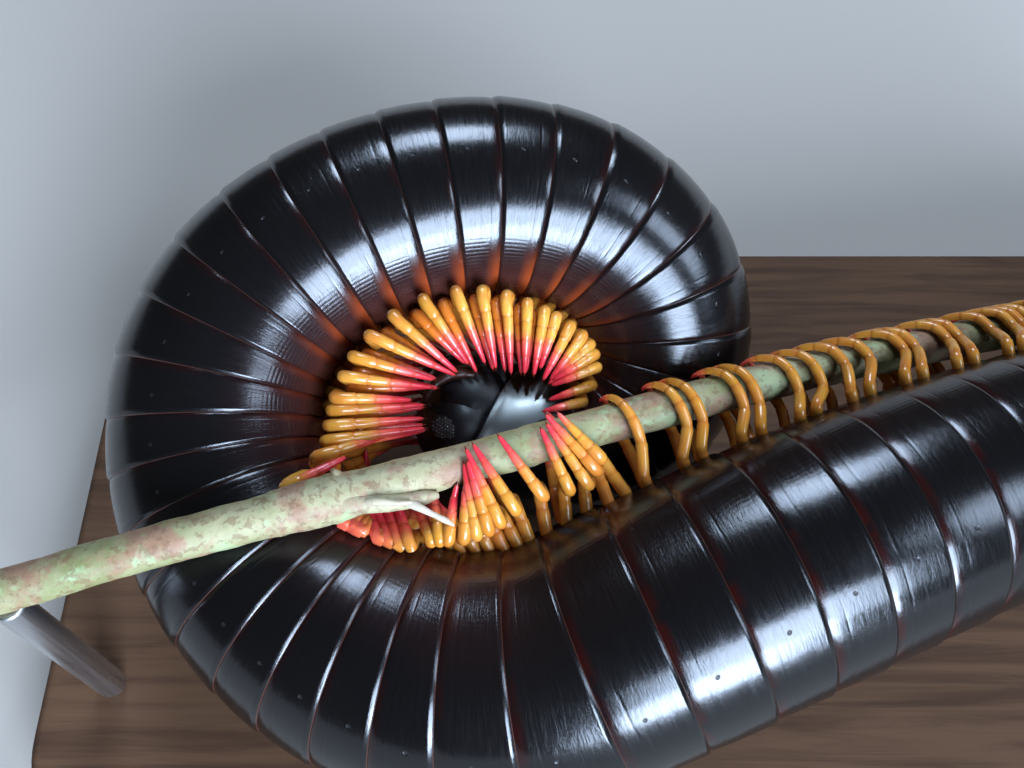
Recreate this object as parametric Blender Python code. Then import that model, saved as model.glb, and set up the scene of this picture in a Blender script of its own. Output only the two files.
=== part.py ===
"""Ruby-footed black millipede coiled along a cut length of twig, on a display stand.

Life-size still model in metres, +Z up, with the origin at the middle of the underside of
the stand's base. The tables are in millimetres, in the sloping plane that the coil lies in:
across to the right, up the slope, and out of the plane towards the viewer.
"""
import bpy
import bmesh
import math
from bisect import bisect_right
from mathutils import Matrix, Vector

MM = 0.001

# The coil's plane is tipped back from the vertical by this angle, and its zero point stands
# here, in millimetres from the middle of the base's underside
PLANE_TIP = math.radians(60.0)
PLANE_ORIGIN = Vector((-23.0, 3.0, 18.6))

# Body axis from head to tail: across, up, out, body diameter
BODY = [
    (-5.8, -0.8, -2.4, 8.0), (-2.7, -2.5, -3.2, 9.2), (0.6, -4.0, -4.0, 10.0),
    (4.3, -4.5, -4.6, 10.5), (8.5, -2.2, -4.8, 11.6), (10.6, 2.8, -4.3, 12.5),
    (9.4, 7.7, -3.3, 13.0), (5.3, 11.3, -2.1, 13.3), (-0.3, 12.6, -1.2, 13.6),
    (-6.2, 11.9, -0.6, 13.8), (-12.1, 9.4, -0.2, 14.0), (-16.6, 5.5, 0.1, 14.2),
    (-19.0, 0.6, 0.5, 14.4), (-19.0, -5.0, 1.1, 14.7), (-16.4, -10.7, 2.3, 15.1),
    (-11.4, -15.3, 3.8, 15.5), (-5.1, -17.6, 5.0, 15.9), (2.0, -17.4, 5.8, 16.2),
    (9.1, -14.5, 6.2, 16.2), (15.8, -11.5, 6.0, 16.0), (23.0, -8.7, 4.9, 15.7),
    (30.4, -6.3, 3.0, 15.3), (38.9, -4.0, 1.0, 14.8), (49.5, -1.4, -0.9, 14.2),
    (60.8, 0.7, -2.2, 13.6), (71.9, 2.2, -2.9, 12.6),
]

# Axis of the twig from left to right: across, up, out
TWIG = [
    (-30.2, -12.1, 13.0), (-22.9, -9.9, 12.0), (-12.2, -7.1, 9.9), (-0.7, -4.2, 7.0),
    (11.9, -0.9, 3.9), (23.1, 1.6, 0.9), (34.6, 3.8, -2.4), (46.7, 6.0, -5.2),
    (61.0, 8.4, -7.8), (75.6, 10.6, -9.8),
]

# Point that the belly faces, against distance along the body; further back it faces the twig
BELLY_AIM = [
    (0.0, (2.3, 3.1, -3.0)), (24.0, (3.4, 2.7, -3.0)), (34.0, (0.6, 1.0, -2.0)),
    (44.0, (-2.3, -1.1, -0.8)), (68.0, (-3.3, -1.9, 1.0)), (80.0, (-4.6, -5.5, 3.0)),
    (88.0, (-4.2, -7.9, 5.0)),
]
BELLY_ON_TWIG = 96.0

# Claws of the near row of legs, against distance along the body
CLAWS = [
    (18.0, (2.4, -0.1, 2.3)), (25.0, (2.2, 0.2, 2.6)), (31.0, (1.5, 0.5, 2.8)),
    (37.0, (0.4, 0.6, 2.9)), (42.0, (-1.3, 1.0, 2.9)), (47.0, (-3.0, 1.1, 3.0)),
    (52.0, (-4.1, 0.6, 3.1)), (57.0, (-5.1, -0.1, 3.2)), (62.0, (-6.1, -1.0, 3.3)),
    (66.0, (-5.6, -2.2, 3.3)), (69.5, (-5.1, -3.0, 3.3)), (73.0, (-6.7, -3.6, 3.6)),
    (76.0, (-10.5, -8.4, 3.2)), (80.0, (-8.4, -7.6, 4.6)), (88.0, (-5.2, -7.5, 5.6)),
    (90.0, (-2.9, -4.5, 8.9)), (95.0, (-2.5, -4.0, 8.9)), (98.5, (-0.9, -3.3, 8.6)),
    (101.0, (1.7, -2.4, 8.2)),
]

# Length of a body ring against distance along the body; the rings telescope in the coil
FIRST_EDGE = 9.9
RING_PITCH = [
    (10.0, 2.48), (25.0, 2.7), (40.0, 3.0), (60.0, 2.78), (77.0, 2.7), (79.0, 2.55),
    (87.0, 3.0), (90.0, 3.9), (94.0, 4.4), (103.0, 4.1), (108.0, 3.6), (122.0, 3.65),
    (150.0, 3.42), (165.0, 2.85),
]
TRUNK_RINGS = 50

# Lengths that the trunk is made in: name, first ring, ring after its last
LENGTHS = [
    ("trunk_neck", 0, 8),
    ("trunk_coil_front", 8, 15),
    ("trunk_coil_rear", 15, 25),
    ("trunk_bend", 25, 32),
    ("trunk_back", 32, 38),
    ("trunk_rump", 38, 44),
    ("trunk_tail", 44, TRUNK_RINGS),
]
RING_SIDES = 16
RING_STEP = 0.045
STEP_RUN = 0.12
NODE_GAP = 0.32

# Legs: radius from the sunk root to the claw
LEG_RADII = (0.46, 0.45, 0.43, 0.38, 0.33, 0.18)
LEG_ROOT_DEPTH = 0.72
LEG_ROWS = (0.36, 0.80)
SINGLE_LEG_RINGS = 8
LEGLESS_RINGS = 2
LEG_SQUEEZE = 0.05
NECK_LEG_ANGLE = math.radians(43.0)
COIL_LEG_ANGLES = (math.radians(27.5), math.radians(12.0))
GRIP_LEG_ANGLE = math.radians(17.0)
KNEE_RISE = [(20.0, 1.8), (34.0, 2.3), (68.0, 2.3), (80.0, 1.0), (100.0, 0.7)]
NECK_LEGS_END = 16.5
GRIP_FROM = 100.5
GRIP_LEAN = [(100.0, 2.3), (122.0, 1.7), (138.0, 0.5), (165.0, 0.3)]

# Least gaps from a leg to the twig and the far rings, and to its own rings
CLEARANCE = 0.48
SKIM = 0.28
OWN_REACH = 9.0

# Head end: places along the body, and half sizes along it, towards the belly and sideways
HEAD_AT = 3.0
HEAD_SIZE = (2.7, 3.7, 4.0)
FACE_SIZE = (2.0, 2.0, 2.7)
CHEEK_SIZE = (1.9, 1.9, 1.5)
EYE_SIZE = (0.95, 0.75, 0.7)
EYE_GAP = 0.32
COLLUM_FROM, COLLUM_TO = 6.35, 9.58
ANTENNA_RADII = (0.30, 0.30, 0.33, 0.40, 0.30)

# Tail end
TELSON_PROFILE = [(0.0, 0.93), (1.6, 0.90), (3.0, 0.74), (3.9, 0.52)]
VALVE_SIZE = (1.0, 2.3, 1.15)

# Twig
TWIG_RADIUS = 1.22
TWIG_STEPS = 30
NODE_AT, NODE_SWELL, NODE_LENGTH = 19.5, 0.16, 2.2

# Stand
BASE_SIZE = (113.0, 50.0, 4.0)
BASE_CORNER, BASE_EDGE = 8.0, 0.7
ROD_RADIUS = 1.0
ROD_PLACES = (1.9, 103.6)
ROD_FOOT_GAP, ROD_TOP_GAP = 0.3, 0.36

# Colour, roughness and metallic value of each material
FINISHES = {
    "black_cuticle": ((0.012, 0.010, 0.010, 1.0), 0.25, 0.0),
    "antenna_amber": ((0.45, 0.16, 0.05, 1.0), 0.40, 0.0),
    "eye_black": ((0.02, 0.02, 0.025, 1.0), 0.15, 0.0),
    "twig_bark": ((0.52, 0.50, 0.30, 1.0), 0.70, 0.0),
    "stand_base": ((0.72, 0.71, 0.68, 1.0), 0.50, 0.0),
    "stand_rod": ((0.55, 0.56, 0.58, 1.0), 0.30, 1.0),
}


def place(across, up, out):
    """World point, in millimetres, of a point of the coil's plane."""
    y = up * math.sin(PLANE_TIP) - out * math.cos(PLANE_TIP)
    z = up * math.cos(PLANE_TIP) + out * math.sin(PLANE_TIP)
    return Vector((across, y, z)) + PLANE_ORIGIN


VIEW = place(0, 0, 1) - place(0, 0, 0)


# Scene and materials

def clear_scene():
    for ob in list(bpy.data.objects):
        bpy.data.objects.remove(ob, do_unlink=True)
    parts = bpy.data.collections.new("millipede")
    bpy.context.scene.collection.children.link(parts)
    return parts


def make_material(name):
    colour, roughness, metallic = FINISHES[name]
    mat = bpy.data.materials.new(name)
    mat.use_nodes = True
    shader = mat.node_tree.nodes["Principled BSDF"]
    shader.inputs["Base Color"].default_value = colour
    shader.inputs["Roughness"].default_value = roughness
    shader.inputs["Metallic"].default_value = metallic
    mat.diffuse_color = colour
    return mat


def add_object(name, bm):
    """New object from a bmesh in millimetres, facing outwards."""
    bmesh.ops.scale(bm, vec=(MM, MM, MM), verts=bm.verts)
    bmesh.ops.recalc_face_normals(bm, faces=bm.faces)
    if bm.calc_volume(signed=True) < 0:
        bmesh.ops.reverse_faces(bm, faces=bm.faces)
    mesh = bpy.data.meshes.new(name)
    bm.to_mesh(mesh)
    bm.free()
    ob = bpy.data.objects.new(name, mesh)
    PARTS.objects.link(ob)
    return ob


def finish(ob, slot):
    ob.data.materials.clear()
    ob.data.materials.append(MATERIALS[slot])
    ob.data.shade_smooth()
    ob.data.set_sharp_from_angle(angle=math.radians(35.0))


# Curves through the tables

def make_track(rows, cuts=14):
    """Smooth curve through the rows, sampled, with the running length of each sample."""
    pts = [Vector(row) for row in rows]
    gaps = [(b.to_3d() - a.to_3d()).length for a, b in zip(pts, pts[1:])]
    steps = [(b - a) / gap for a, b, gap in zip(pts, pts[1:], gaps)]
    slopes = [steps[0]]
    for i in range(1, len(steps)):
        before, after = gaps[i - 1], gaps[i]
        slopes.append((steps[i - 1] * after + steps[i] * before) / (before + after))
    slopes.append(steps[-1])
    samples = []
    for i, gap in enumerate(gaps):
        for j in range(cuts):
            t = j / cuts
            start, lead = 2 * t**3 - 3 * t**2 + 1, t**3 - 2 * t**2 + t
            end, trail = 3 * t**2 - 2 * t**3, t**3 - t**2
            samples.append(pts[i] * start + slopes[i] * (gap * lead)
                           + pts[i + 1] * end + slopes[i + 1] * (gap * trail))
    samples.append(pts[-1])
    run = [0.0]
    for a, b in zip(samples, samples[1:]):
        run.append(run[-1] + (b.to_3d() - a.to_3d()).length)
    return run, samples


def on_track(track, s):
    """Sample of a track at running length s, carried straight on past both ends."""
    run, samples = track
    i = min(max(bisect_right(run, s) - 1, 0), len(run) - 2)
    return samples[i].lerp(samples[i + 1], (s - run[i]) / (run[i + 1] - run[i]))


def direction(track, s, reach=0.4):
    return (on_track(track, s + reach).to_3d() - on_track(track, s - reach).to_3d()).normalized()


def nearest(track, point):
    """Distance, running length and sample of the track's sample nearest to a point."""
    run, samples = track
    return min(((p.to_3d() - point).length, s, p) for s, p in zip(run, samples))


def number_at(table, s):
    for (s0, a), (s1, b) in zip(table, table[1:]):
        if s <= s1:
            return a + (b - a) * max(0.0, (s - s0) / (s1 - s0))
    return table[-1][1]


def point_at(table, s):
    for (s0, a), (s1, b) in zip(table, table[1:]):
        if s <= s1:
            return place(*a).lerp(place(*b), max(0.0, (s - s0) / (s1 - s0)))
    return place(*table[-1][1])


BODY_TRACK = make_track([(*place(a, u, o), d) for a, u, o, d in BODY])
TWIG_TRACK = make_track([(*place(*row), 0.0) for row in TWIG])


def ring_edges():
    """Distance along the body of the front of each trunk ring, and of the last one's rear."""
    edges = [FIRST_EDGE]
    while len(edges) <= TRUNK_RINGS:
        edges.append(edges[-1] + number_at(RING_PITCH, edges[-1]))
    return edges


EDGES = ring_edges()


def body_frame(s):
    """Centre, radius, rearward direction, belly direction and direction of the near side."""
    sample = on_track(BODY_TRACK, s)
    centre = sample.to_3d()
    rear = direction(BODY_TRACK, s)
    last_aim = BELLY_AIM[-1][0]
    aim = point_at(BELLY_AIM, s)
    if s > last_aim:
        on_twig = nearest(TWIG_TRACK, centre)[2].to_3d()
        aim = aim.lerp(on_twig, min(1.0, (s - last_aim) / (BELLY_ON_TWIG - last_aim)))
    belly = aim - centre
    belly = (belly - rear * belly.dot(rear)).normalized()
    side = rear.cross(belly)
    if side.dot(VIEW) < 0:
        side = -side
    return centre, sample[3] / 2, rear, belly, side


# Closed solids

def circle(centre, a, b, radius, sides):
    turns = [2 * math.pi * i / sides for i in range(sides)]
    return [centre + a * (radius * math.cos(t)) + b * (radius * math.sin(t)) for t in turns]


def loft(name, loops):
    """Closed skin over loops that differ in size, which no curve or screw makes."""
    bm = bmesh.new()
    rows = [[bm.verts.new(v) for v in loop] for loop in loops]
    count = len(loops[0])
    for low, high in zip(rows, rows[1:]):
        for i in range(count):
            j = (i + 1) % count
            bm.faces.new((low[i], low[j], high[j], high[i]))
    for row in (rows[0], rows[-1]):
        middle = bm.verts.new(sum((v.co for v in row), Vector()) / count)
        for i in range(count):
            bm.faces.new((row[i], row[(i + 1) % count], middle))
    return add_object(name, bm)


def tube(name, points, radii, resolution):
    """Tapered tube: a curve with a bevel and filled caps, made a closed mesh."""
    curve = bpy.data.curves.new(name, "CURVE")
    curve.dimensions = "3D"
    curve.bevel_depth = 1.0
    curve.bevel_resolution = resolution
    curve.use_fill_caps = True
    spline = curve.splines.new("POLY")
    spline.points.add(len(points) - 1)
    for slot, point, radius in zip(spline.points, points, radii):
        slot.co = (*point, 1.0)
        slot.radius = radius
    guide = bpy.data.objects.new(name + "_guide", curve)
    PARTS.objects.link(guide)
    graph = bpy.context.evaluated_depsgraph_get()
    mesh = bpy.data.meshes.new_from_object(guide.evaluated_get(graph))
    bpy.data.objects.remove(guide, do_unlink=True)
    bm = bmesh.new()
    bm.from_mesh(mesh)
    bpy.data.meshes.remove(mesh)
    bmesh.ops.remove_doubles(bm, verts=bm.verts, dist=1e-4)
    return add_object(name, bm)


def ellipsoid(name, centre, axes, size, rings, sides):
    bm = bmesh.new()
    turn = Matrix((axes[0] * size[0], axes[1] * size[1], axes[2] * size[2])).transposed()
    matrix = Matrix.Translation(centre) @ turn.to_4x4()
    bmesh.ops.create_uvsphere(bm, u_segments=sides, v_segments=rings, radius=1.0, matrix=matrix)
    return add_object(name, bm)


def combine(target, pieces, operation):
    """Union with, or cut by, a collection of closed pieces, which are then removed."""
    group = bpy.data.collections.new(target.name + "_pieces")
    bpy.context.scene.collection.children.link(group)
    for piece in pieces:
        PARTS.objects.unlink(piece)
        group.objects.link(piece)
    boolean = target.modifiers.new("combine", "BOOLEAN")
    boolean.operation = operation
    boolean.solver = "MANIFOLD"
    boolean.operand_type = "COLLECTION"
    boolean.collection = group
    graph = bpy.context.evaluated_depsgraph_get()
    mesh = bpy.data.meshes.new_from_object(target.evaluated_get(graph))
    target.modifiers.clear()
    target.data = mesh
    for piece in pieces:
        bpy.data.objects.remove(piece, do_unlink=True)
    bpy.data.collections.remove(group)
    keep_largest(mesh)


def keep_largest(mesh):
    """Drop all but the largest closed surface of a mesh."""
    bm = bmesh.new()
    bm.from_mesh(mesh)
    left = set(bm.faces)
    surfaces = []
    while left:
        surface = set()
        front = [left.pop()]
        while front:
            face = front.pop()
            surface.add(face)
            for edge in face.edges:
                for other in edge.link_faces:
                    if other in left:
                        left.remove(other)
                        front.append(other)
        surfaces.append(surface)
    surfaces.sort(key=lambda surface: sum(face.calc_area() for face in surface))
    scraps = [face for surface in surfaces[:-1] for face in surface]
    bmesh.ops.delete(bm, geom=scraps, context="FACES")
    bmesh.ops.triangulate(bm, faces=bm.faces)
    bm.to_mesh(mesh)
    bm.free()


# Legs

def keep_clear(point, radius, own):
    """Push a leg's point out of the body and the twig."""
    for _ in range(5):
        gap, s, sample = nearest(BODY_TRACK, point)
        least = sample[3] / 2 + radius + (SKIM if abs(s - own) < OWN_REACH else CLEARANCE)
        if gap < least:
            point = point + (point - sample.to_3d()).normalized() * (least - gap)
        gap, _, sample = nearest(TWIG_TRACK, point)
        least = TWIG_RADIUS + radius + CLEARANCE
        if gap < least:
            point = point + (point - sample.to_3d()).normalized() * (least - gap)
    return point


def gripping_leg(s, centre, root, belly, out, near):
    """Leg that reaches past the twig and hooks over its far side."""
    _, along, _ = nearest(TWIG_TRACK, centre)
    run = direction(TWIG_TRACK, along)
    hold = on_track(TWIG_TRACK, along - number_at(GRIP_LEAN, s)).to_3d()
    over = hold - centre
    over = (over - run * over.dot(run)).normalized()
    beside = (out - run * out.dot(run) - over * out.dot(over)).normalized()
    r = TWIG_RADIUS
    knee = root + belly * 1.1 + out * 0.7
    bend = hold - over * (r + 0.9) + beside * (r + 0.7)
    shin = hold + beside * (r + 0.85)
    if near:
        foot = hold + (over + beside) * (r * 0.75 + 0.45)
        claw = hold + over * (r + 0.75) + beside * 0.15
        return [knee, bend.lerp(shin, 0.35), foot, claw]
    return [knee, bend, shin, hold + over * 0.75 + beside * (r + 0.75)]


def coil_leg(s, root, belly, out, row):
    """Leg of the near side in the coil: a high knee, then a long reach to the middle."""
    lift = (0.35, -0.35)[row]
    knee = root + out * (number_at(KNEE_RISE, s) + lift) - belly * 0.2
    claw = point_at(CLAWS, s) + out * lift
    if row == 1:
        claw = claw.lerp(knee, 0.14)
    return [knee, knee.lerp(claw, 0.22) + out * 0.4, knee.lerp(claw, 0.62) + out * 0.3, claw]


def leg(name, s, near, row):
    centre, radius, rear, belly, side = body_frame(s)
    out = side if near else -side
    if s > GRIP_FROM:
        angle = GRIP_LEG_ANGLE
    elif s < EDGES[SINGLE_LEG_RINGS - 1]:
        angle = NECK_LEG_ANGLE
    else:
        angle = COIL_LEG_ANGLES[row]
    spoke = belly * math.cos(angle) + out * math.sin(angle)
    root = centre + spoke * (radius * 0.97)
    if s > GRIP_FROM:
        reach = gripping_leg(s, centre, root, belly, out, near)
    elif s < NECK_LEGS_END:
        knee = root + out * 1.5 + belly * 0.3
        reach = [knee, knee + out * 0.9 - rear * 1.7 + belly * 0.4]
    elif near:
        reach = coil_leg(s, root, belly, out, row)
    else:
        knee = root + out * 1.4 + belly * (0.3, 0.9)[row]
        reach = [knee, knee + out * 0.3 + belly * 2.2]
    radii = [*LEG_RADII[:len(reach) + 1], LEG_RADII[-1]]
    clear = [keep_clear(p, r, s) for p, r in zip(reach, radii[2:])]
    sunk = centre + spoke * (radius * LEG_ROOT_DEPTH)
    return tube(name, [sunk, root, *clear], radii, 0)


def legs_of(name, first, last):
    """All legs of a trunk length, drawn a little towards its middle."""
    middle = (EDGES[first] + EDGES[last]) / 2
    made = []
    for ring in range(first, min(last, TRUNK_RINGS - LEGLESS_RINGS)):
        rows = LEG_ROWS if ring >= SINGLE_LEG_RINGS else [sum(LEG_ROWS) / 2]
        for row, share in enumerate(rows):
            s = EDGES[ring] + share * (EDGES[ring + 1] - EDGES[ring])
            s = middle + (s - middle) * (1 - LEG_SQUEEZE)
            for near in (True, False):
                made.append(leg("%s_leg_%d_%d_%d" % (name, ring, row, near), s, near, row))
    return made


# Trunk

def ring_loop(s, share, shift=0.0):
    centre, radius, rear, belly, side = body_frame(s)
    return circle(centre + rear * shift, belly, rear.cross(belly), radius * share, RING_SIDES)


def build_trunk():
    """Each ring widens to its rear margin and steps in to the next one."""
    for name, first, last in LENGTHS:
        loops = [ring_loop(EDGES[first], 1 - RING_STEP, NODE_GAP)]
        for ring in range(first, last):
            loops.append(ring_loop(EDGES[ring + 1], 1.0))
            if ring < last - 1:
                loops.append(ring_loop(EDGES[ring + 1], 1 - RING_STEP, STEP_RUN))
        trunk = loft(name, loops)
        combine(trunk, legs_of(name, first, last), "UNION")
        finish(trunk, "black_cuticle")


# Head end

def build_head():
    centre, _, rear, belly, side = body_frame(HEAD_AT)
    axes = (rear, belly, side)
    head = ellipsoid("head", centre, axes, HEAD_SIZE, 10, 16)
    face = ellipsoid("face", centre - rear * 1.7 + belly * 1.5, axes, FACE_SIZE, 9, 14)
    pieces = [face]
    for out in (side, -side):
        at = centre + out * 2.6 + belly * 1.5 + rear * 0.2
        pieces.append(ellipsoid("cheek", at, axes, CHEEK_SIZE, 9, 14))
    combine(head, pieces, "UNION")
    pits = []
    for name, out in (("eye_left", side), ("eye_right", -side)):
        at = centre + out * 3.45 - belly * 0.9 - rear * 1.2
        pit_size = [half + EYE_GAP for half in EYE_SIZE]
        pits.append(ellipsoid(name + "_pit", at, axes, pit_size, 7, 10))
        finish(ellipsoid(name, at, axes, EYE_SIZE, 7, 10), "eye_black")
    combine(head, pits, "DIFFERENCE")
    finish(head, "black_cuticle")


def build_antennae():
    centre, _, rear, belly, side = body_frame(HEAD_AT)
    for name, out in (("antenna_left", side), ("antenna_right", -side)):
        points = [centre - rear * 3.2 + out * 2.7 - belly * 0.5]
        points.append(points[-1] - rear * 0.6 + out * 0.8 - belly * 0.7)
        points.append(points[-1] - rear * 0.1 + out * 0.2 - belly * 1.3)
        points.append(points[-1] + rear * 0.5 - belly * 1.4)
        points.append(points[-1] + rear * 0.9 - belly * 0.9)
        finish(tube(name, points, ANTENNA_RADII, 2), "antenna_amber")


def build_collum():
    """Shield behind the head, drawn in on the belly side."""
    sides = 24
    loops = []
    for share, size in ((0.0, 0.80), (0.10, 0.97), (0.5, 1.02), (1.0, 1.0)):
        centre, radius, rear, belly, side = body_frame(COLLUM_FROM + share * (COLLUM_TO - COLLUM_FROM))
        loop = []
        for i in range(sides):
            turn = 2 * math.pi * i / sides
            under = max(0.0, math.cos(turn)) ** 2
            reach = radius * size * (1 - 0.13 * under)
            spoke = belly * math.cos(turn) + side * math.sin(turn)
            loop.append(centre + spoke * reach + rear * (0.5 * under * (1 - share)))
        loops.append(loop)
    finish(loft("collum", loops), "black_cuticle")


# Tail end

def build_tail():
    centre, radius, rear, belly, side = body_frame(EDGES[-1])
    loops = []
    for run, share in TELSON_PROFILE:
        at = centre + rear * (NODE_GAP + run) + belly * (0.05 * run)
        loops.append(circle(at, belly, rear.cross(belly), radius * share, RING_SIDES))
    telson = loft("telson", loops)
    point = [centre + rear * 2.0 - belly * 3.9, centre + rear * 4.4 - belly * 3.4,
             centre + rear * 5.9 - belly * 3.0]
    combine(telson, [tube("epiproct", point, (1.5, 1.0, 0.35), 2)], "UNION")
    finish(telson, "black_cuticle")
    for name, out in (("anal_valve_left", side), ("anal_valve_right", -side)):
        at = centre + rear * (NODE_GAP + 5.3) + belly * 0.7 + out * 1.42
        finish(ellipsoid(name, at, (rear, belly, out), VALVE_SIZE, 8, 12), "black_cuticle")


# Twig and stand

def build_twig():
    total = TWIG_TRACK[0][-1]
    points, radii = [], []
    for k in range(TWIG_STEPS + 1):
        s = total * k / TWIG_STEPS
        points.append(on_track(TWIG_TRACK, s).to_3d())
        swell = NODE_SWELL * math.exp(-((s - NODE_AT) / NODE_LENGTH) ** 2)
        radii.append(TWIG_RADIUS * (1 + swell))
    finish(tube("perch_twig", points, radii, 4), "twig_bark")


def build_base():
    bm = bmesh.new()
    middle = Vector((0.0, 0.0, BASE_SIZE[2] / 2))
    matrix = Matrix.Translation(middle) @ Matrix.Diagonal((*BASE_SIZE, 1.0))
    bmesh.ops.create_cube(bm, size=1.0, matrix=matrix)
    uprights = [e for e in bm.edges if abs(e.verts[0].co.z - e.verts[1].co.z) > BASE_EDGE]
    bmesh.ops.bevel(bm, geom=uprights, offset=BASE_CORNER, segments=5, affect="EDGES", profile=0.5)
    rim = [e for e in bm.edges if min(v.co.z for v in e.verts) > BASE_SIZE[2] - BASE_EDGE]
    bmesh.ops.bevel(bm, geom=rim, offset=BASE_EDGE, segments=1, affect="EDGES", profile=0.5)
    finish(add_object("stand_base", bm), "stand_base")


def build_rods():
    for name, s in zip(("stand_rod_left", "stand_rod_right"), ROD_PLACES):
        at = on_track(TWIG_TRACK, s).to_3d()
        low = BASE_SIZE[2] + ROD_FOOT_GAP
        high = at.z - TWIG_RADIUS - ROD_TOP_GAP
        bm = bmesh.new()
        bmesh.ops.create_cone(bm, cap_ends=True, segments=16, radius1=ROD_RADIUS, radius2=ROD_RADIUS,
                              depth=high - low,
                              matrix=Matrix.Translation((at.x, at.y, (low + high) / 2)))
        finish(add_object(name, bm), "stand_rod")


PARTS = clear_scene()
MATERIALS = {name: make_material(name) for name in FINISHES}
build_trunk()
build_head()
build_antennae()
build_collum()
build_tail()
build_twig()
build_base()
build_rods()
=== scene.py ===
# %% [markdown]
# # A ruby-footed black millipede on a twig
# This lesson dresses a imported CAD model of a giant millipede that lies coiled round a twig.
# The CAD model gives every piece its place. Here each of them gets its real surface: rings
# with raised rear margins, jointed legs, a head with its mouth plates, bark and a small stand.

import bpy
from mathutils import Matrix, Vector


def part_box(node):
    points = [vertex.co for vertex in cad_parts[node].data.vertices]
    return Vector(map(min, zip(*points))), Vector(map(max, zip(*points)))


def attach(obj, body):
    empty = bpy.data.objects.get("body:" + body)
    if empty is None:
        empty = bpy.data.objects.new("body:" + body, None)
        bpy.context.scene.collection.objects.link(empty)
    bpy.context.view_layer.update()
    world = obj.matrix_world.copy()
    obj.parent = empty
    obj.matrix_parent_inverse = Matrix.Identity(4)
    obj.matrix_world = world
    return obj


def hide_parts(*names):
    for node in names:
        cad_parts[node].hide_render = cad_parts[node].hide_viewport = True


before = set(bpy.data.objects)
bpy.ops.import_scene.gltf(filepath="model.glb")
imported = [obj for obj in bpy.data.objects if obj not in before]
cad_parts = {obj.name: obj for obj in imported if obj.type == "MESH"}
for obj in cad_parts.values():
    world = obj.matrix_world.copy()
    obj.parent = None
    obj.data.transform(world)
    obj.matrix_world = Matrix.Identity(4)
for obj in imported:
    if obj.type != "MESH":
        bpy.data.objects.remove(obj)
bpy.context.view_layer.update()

# %% [markdown]
# The photo looks straight down on the plane that the coil lies in. All places are therefore
# given in that plane, in millimetres: across to the right, up the slope, and out towards the
# viewer. One function turns such a place into a world point, so camera, lights and animal
# share one set of numbers.

# %% The coil's plane
import math
import random
from bisect import bisect_right

import bmesh
import bpy
from mathutils import Matrix, Vector

MM = 0.001
PLANE_TIP = math.radians(60.0)
PLANE_ORIGIN = Vector((-23.0, 3.0, 18.6))


def place(across, up, out):
    """World point, in millimetres, of a point of the coil's plane."""
    y = up * math.sin(PLANE_TIP) - out * math.cos(PLANE_TIP)
    z = up * math.cos(PLANE_TIP) + out * math.sin(PLANE_TIP)
    return Vector((across, y, z)) + PLANE_ORIGIN


def heading(across, up, out):
    """World direction of a direction in the coil's plane."""
    return (place(across, up, out) - place(0, 0, 0)).normalized()


VIEW = heading(0, 0, 1)
print("direction to the viewer:", [round(c, 3) for c in VIEW])

# %% [markdown]
# The camera stands 70 mm from the plane's zero point, which is what the outlines of the photo
# give. Its focal length is 1043 pixels of a picture 1024 pixels wide, here on a 36 mm sensor.

# %% Camera
CAMERA_OUT = 70.0
FOCAL_PIXELS, PICTURE_WIDTH, SENSOR = 1043, 1024, 36.0


def add_object(name, data):
    """Object of a mesh, a lamp or a camera, linked to the scene."""
    made = bpy.data.objects.new(name, data)
    bpy.context.scene.collection.objects.link(made)
    return made


def look_along(made, way):
    """Turn a camera or a lamp to look along a direction."""
    made.rotation_euler = way.to_track_quat("-Z", "Y").to_euler()


camera_data = bpy.data.cameras.new("camera")
camera_data.sensor_width = SENSOR
camera_data.lens = SENSOR * FOCAL_PIXELS / PICTURE_WIDTH
camera_data.clip_start = 0.001
camera = add_object("camera", camera_data)
camera.location = place(0, 0, CAMERA_OUT) * MM
look_along(camera, -VIEW)
bpy.context.scene.camera = camera
print("camera at", [round(c, 4) for c in camera.location])

# %% [markdown]
# Glossy black shows nothing but reflections, so the lights are what draws the body. The photo's
# highlights say where its open sky was: a large bright area to the lower right of the camera, a
# tall one above the coil and a weak one on the right. Large softboxes stand there, far enough
# away to light the floor evenly. Nothing stands on the left, so the rings there stay black.

# %% Softboxes
COIL_MIDDLE = place(2, -2, 0)
SOFTBOX_DISTANCE = 1400.0
SKY_LIGHT = (0.68, 0.81, 1.0)


def hang(name, light, target, toward, distance):
    """Lamp that looks at a target from a direction, at a distance in millimetres."""
    lamp = add_object(name, light)
    toward = heading(*toward)
    lamp.location = (target + toward * distance) * MM
    look_along(lamp, -toward)
    lamp.visible_camera = False


def softbox(name, toward, width, height, power):
    """Rectangular lamp, in millimetres and watts, that lights the coil from a direction."""
    light = bpy.data.lights.new(name, "AREA")
    light.shape = "RECTANGLE"
    light.size = width * MM
    light.size_y = height * MM
    light.energy = power
    light.color = SKY_LIGHT
    hang(name, light, COIL_MIDDLE, toward, SOFTBOX_DISTANCE)


softbox("key_softbox", (0.40, -0.46, 0.79), 740, 540, 36.0)
softbox("low_softbox", (0.34, -0.71, 0.61), 600, 380, 33.0)
softbox("top_softbox", (0.03, 0.93, 0.36), 520, 440, 16.0)
softbox("side_softbox", (0.78, 0.10, 0.62), 420, 560, 9.0)

# %% [markdown]
# The collar lies too deep in the coil for the softboxes; a narrow spot puts the broad bluish
# sheen on it. A little light from all sides keeps the darkest corners readable.

# %% Spot on the collar, and the room
COLLAR_SHEEN = place(0.5, -1.2, 0.6)
SPOT_DISTANCE = 250.0

spot_light = bpy.data.lights.new("collar_spot", "SPOT")
spot_light.energy = 3.6
spot_light.color = (0.60, 0.80, 1.0)
spot_light.spot_size = math.radians(2.8)
spot_light.spot_blend = 1.0
spot_light.shadow_soft_size = 4.0 * MM
hang("collar_spot", spot_light, COLLAR_SHEEN, (0.17, 0.50, 0.85), SPOT_DISTANCE)

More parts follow.
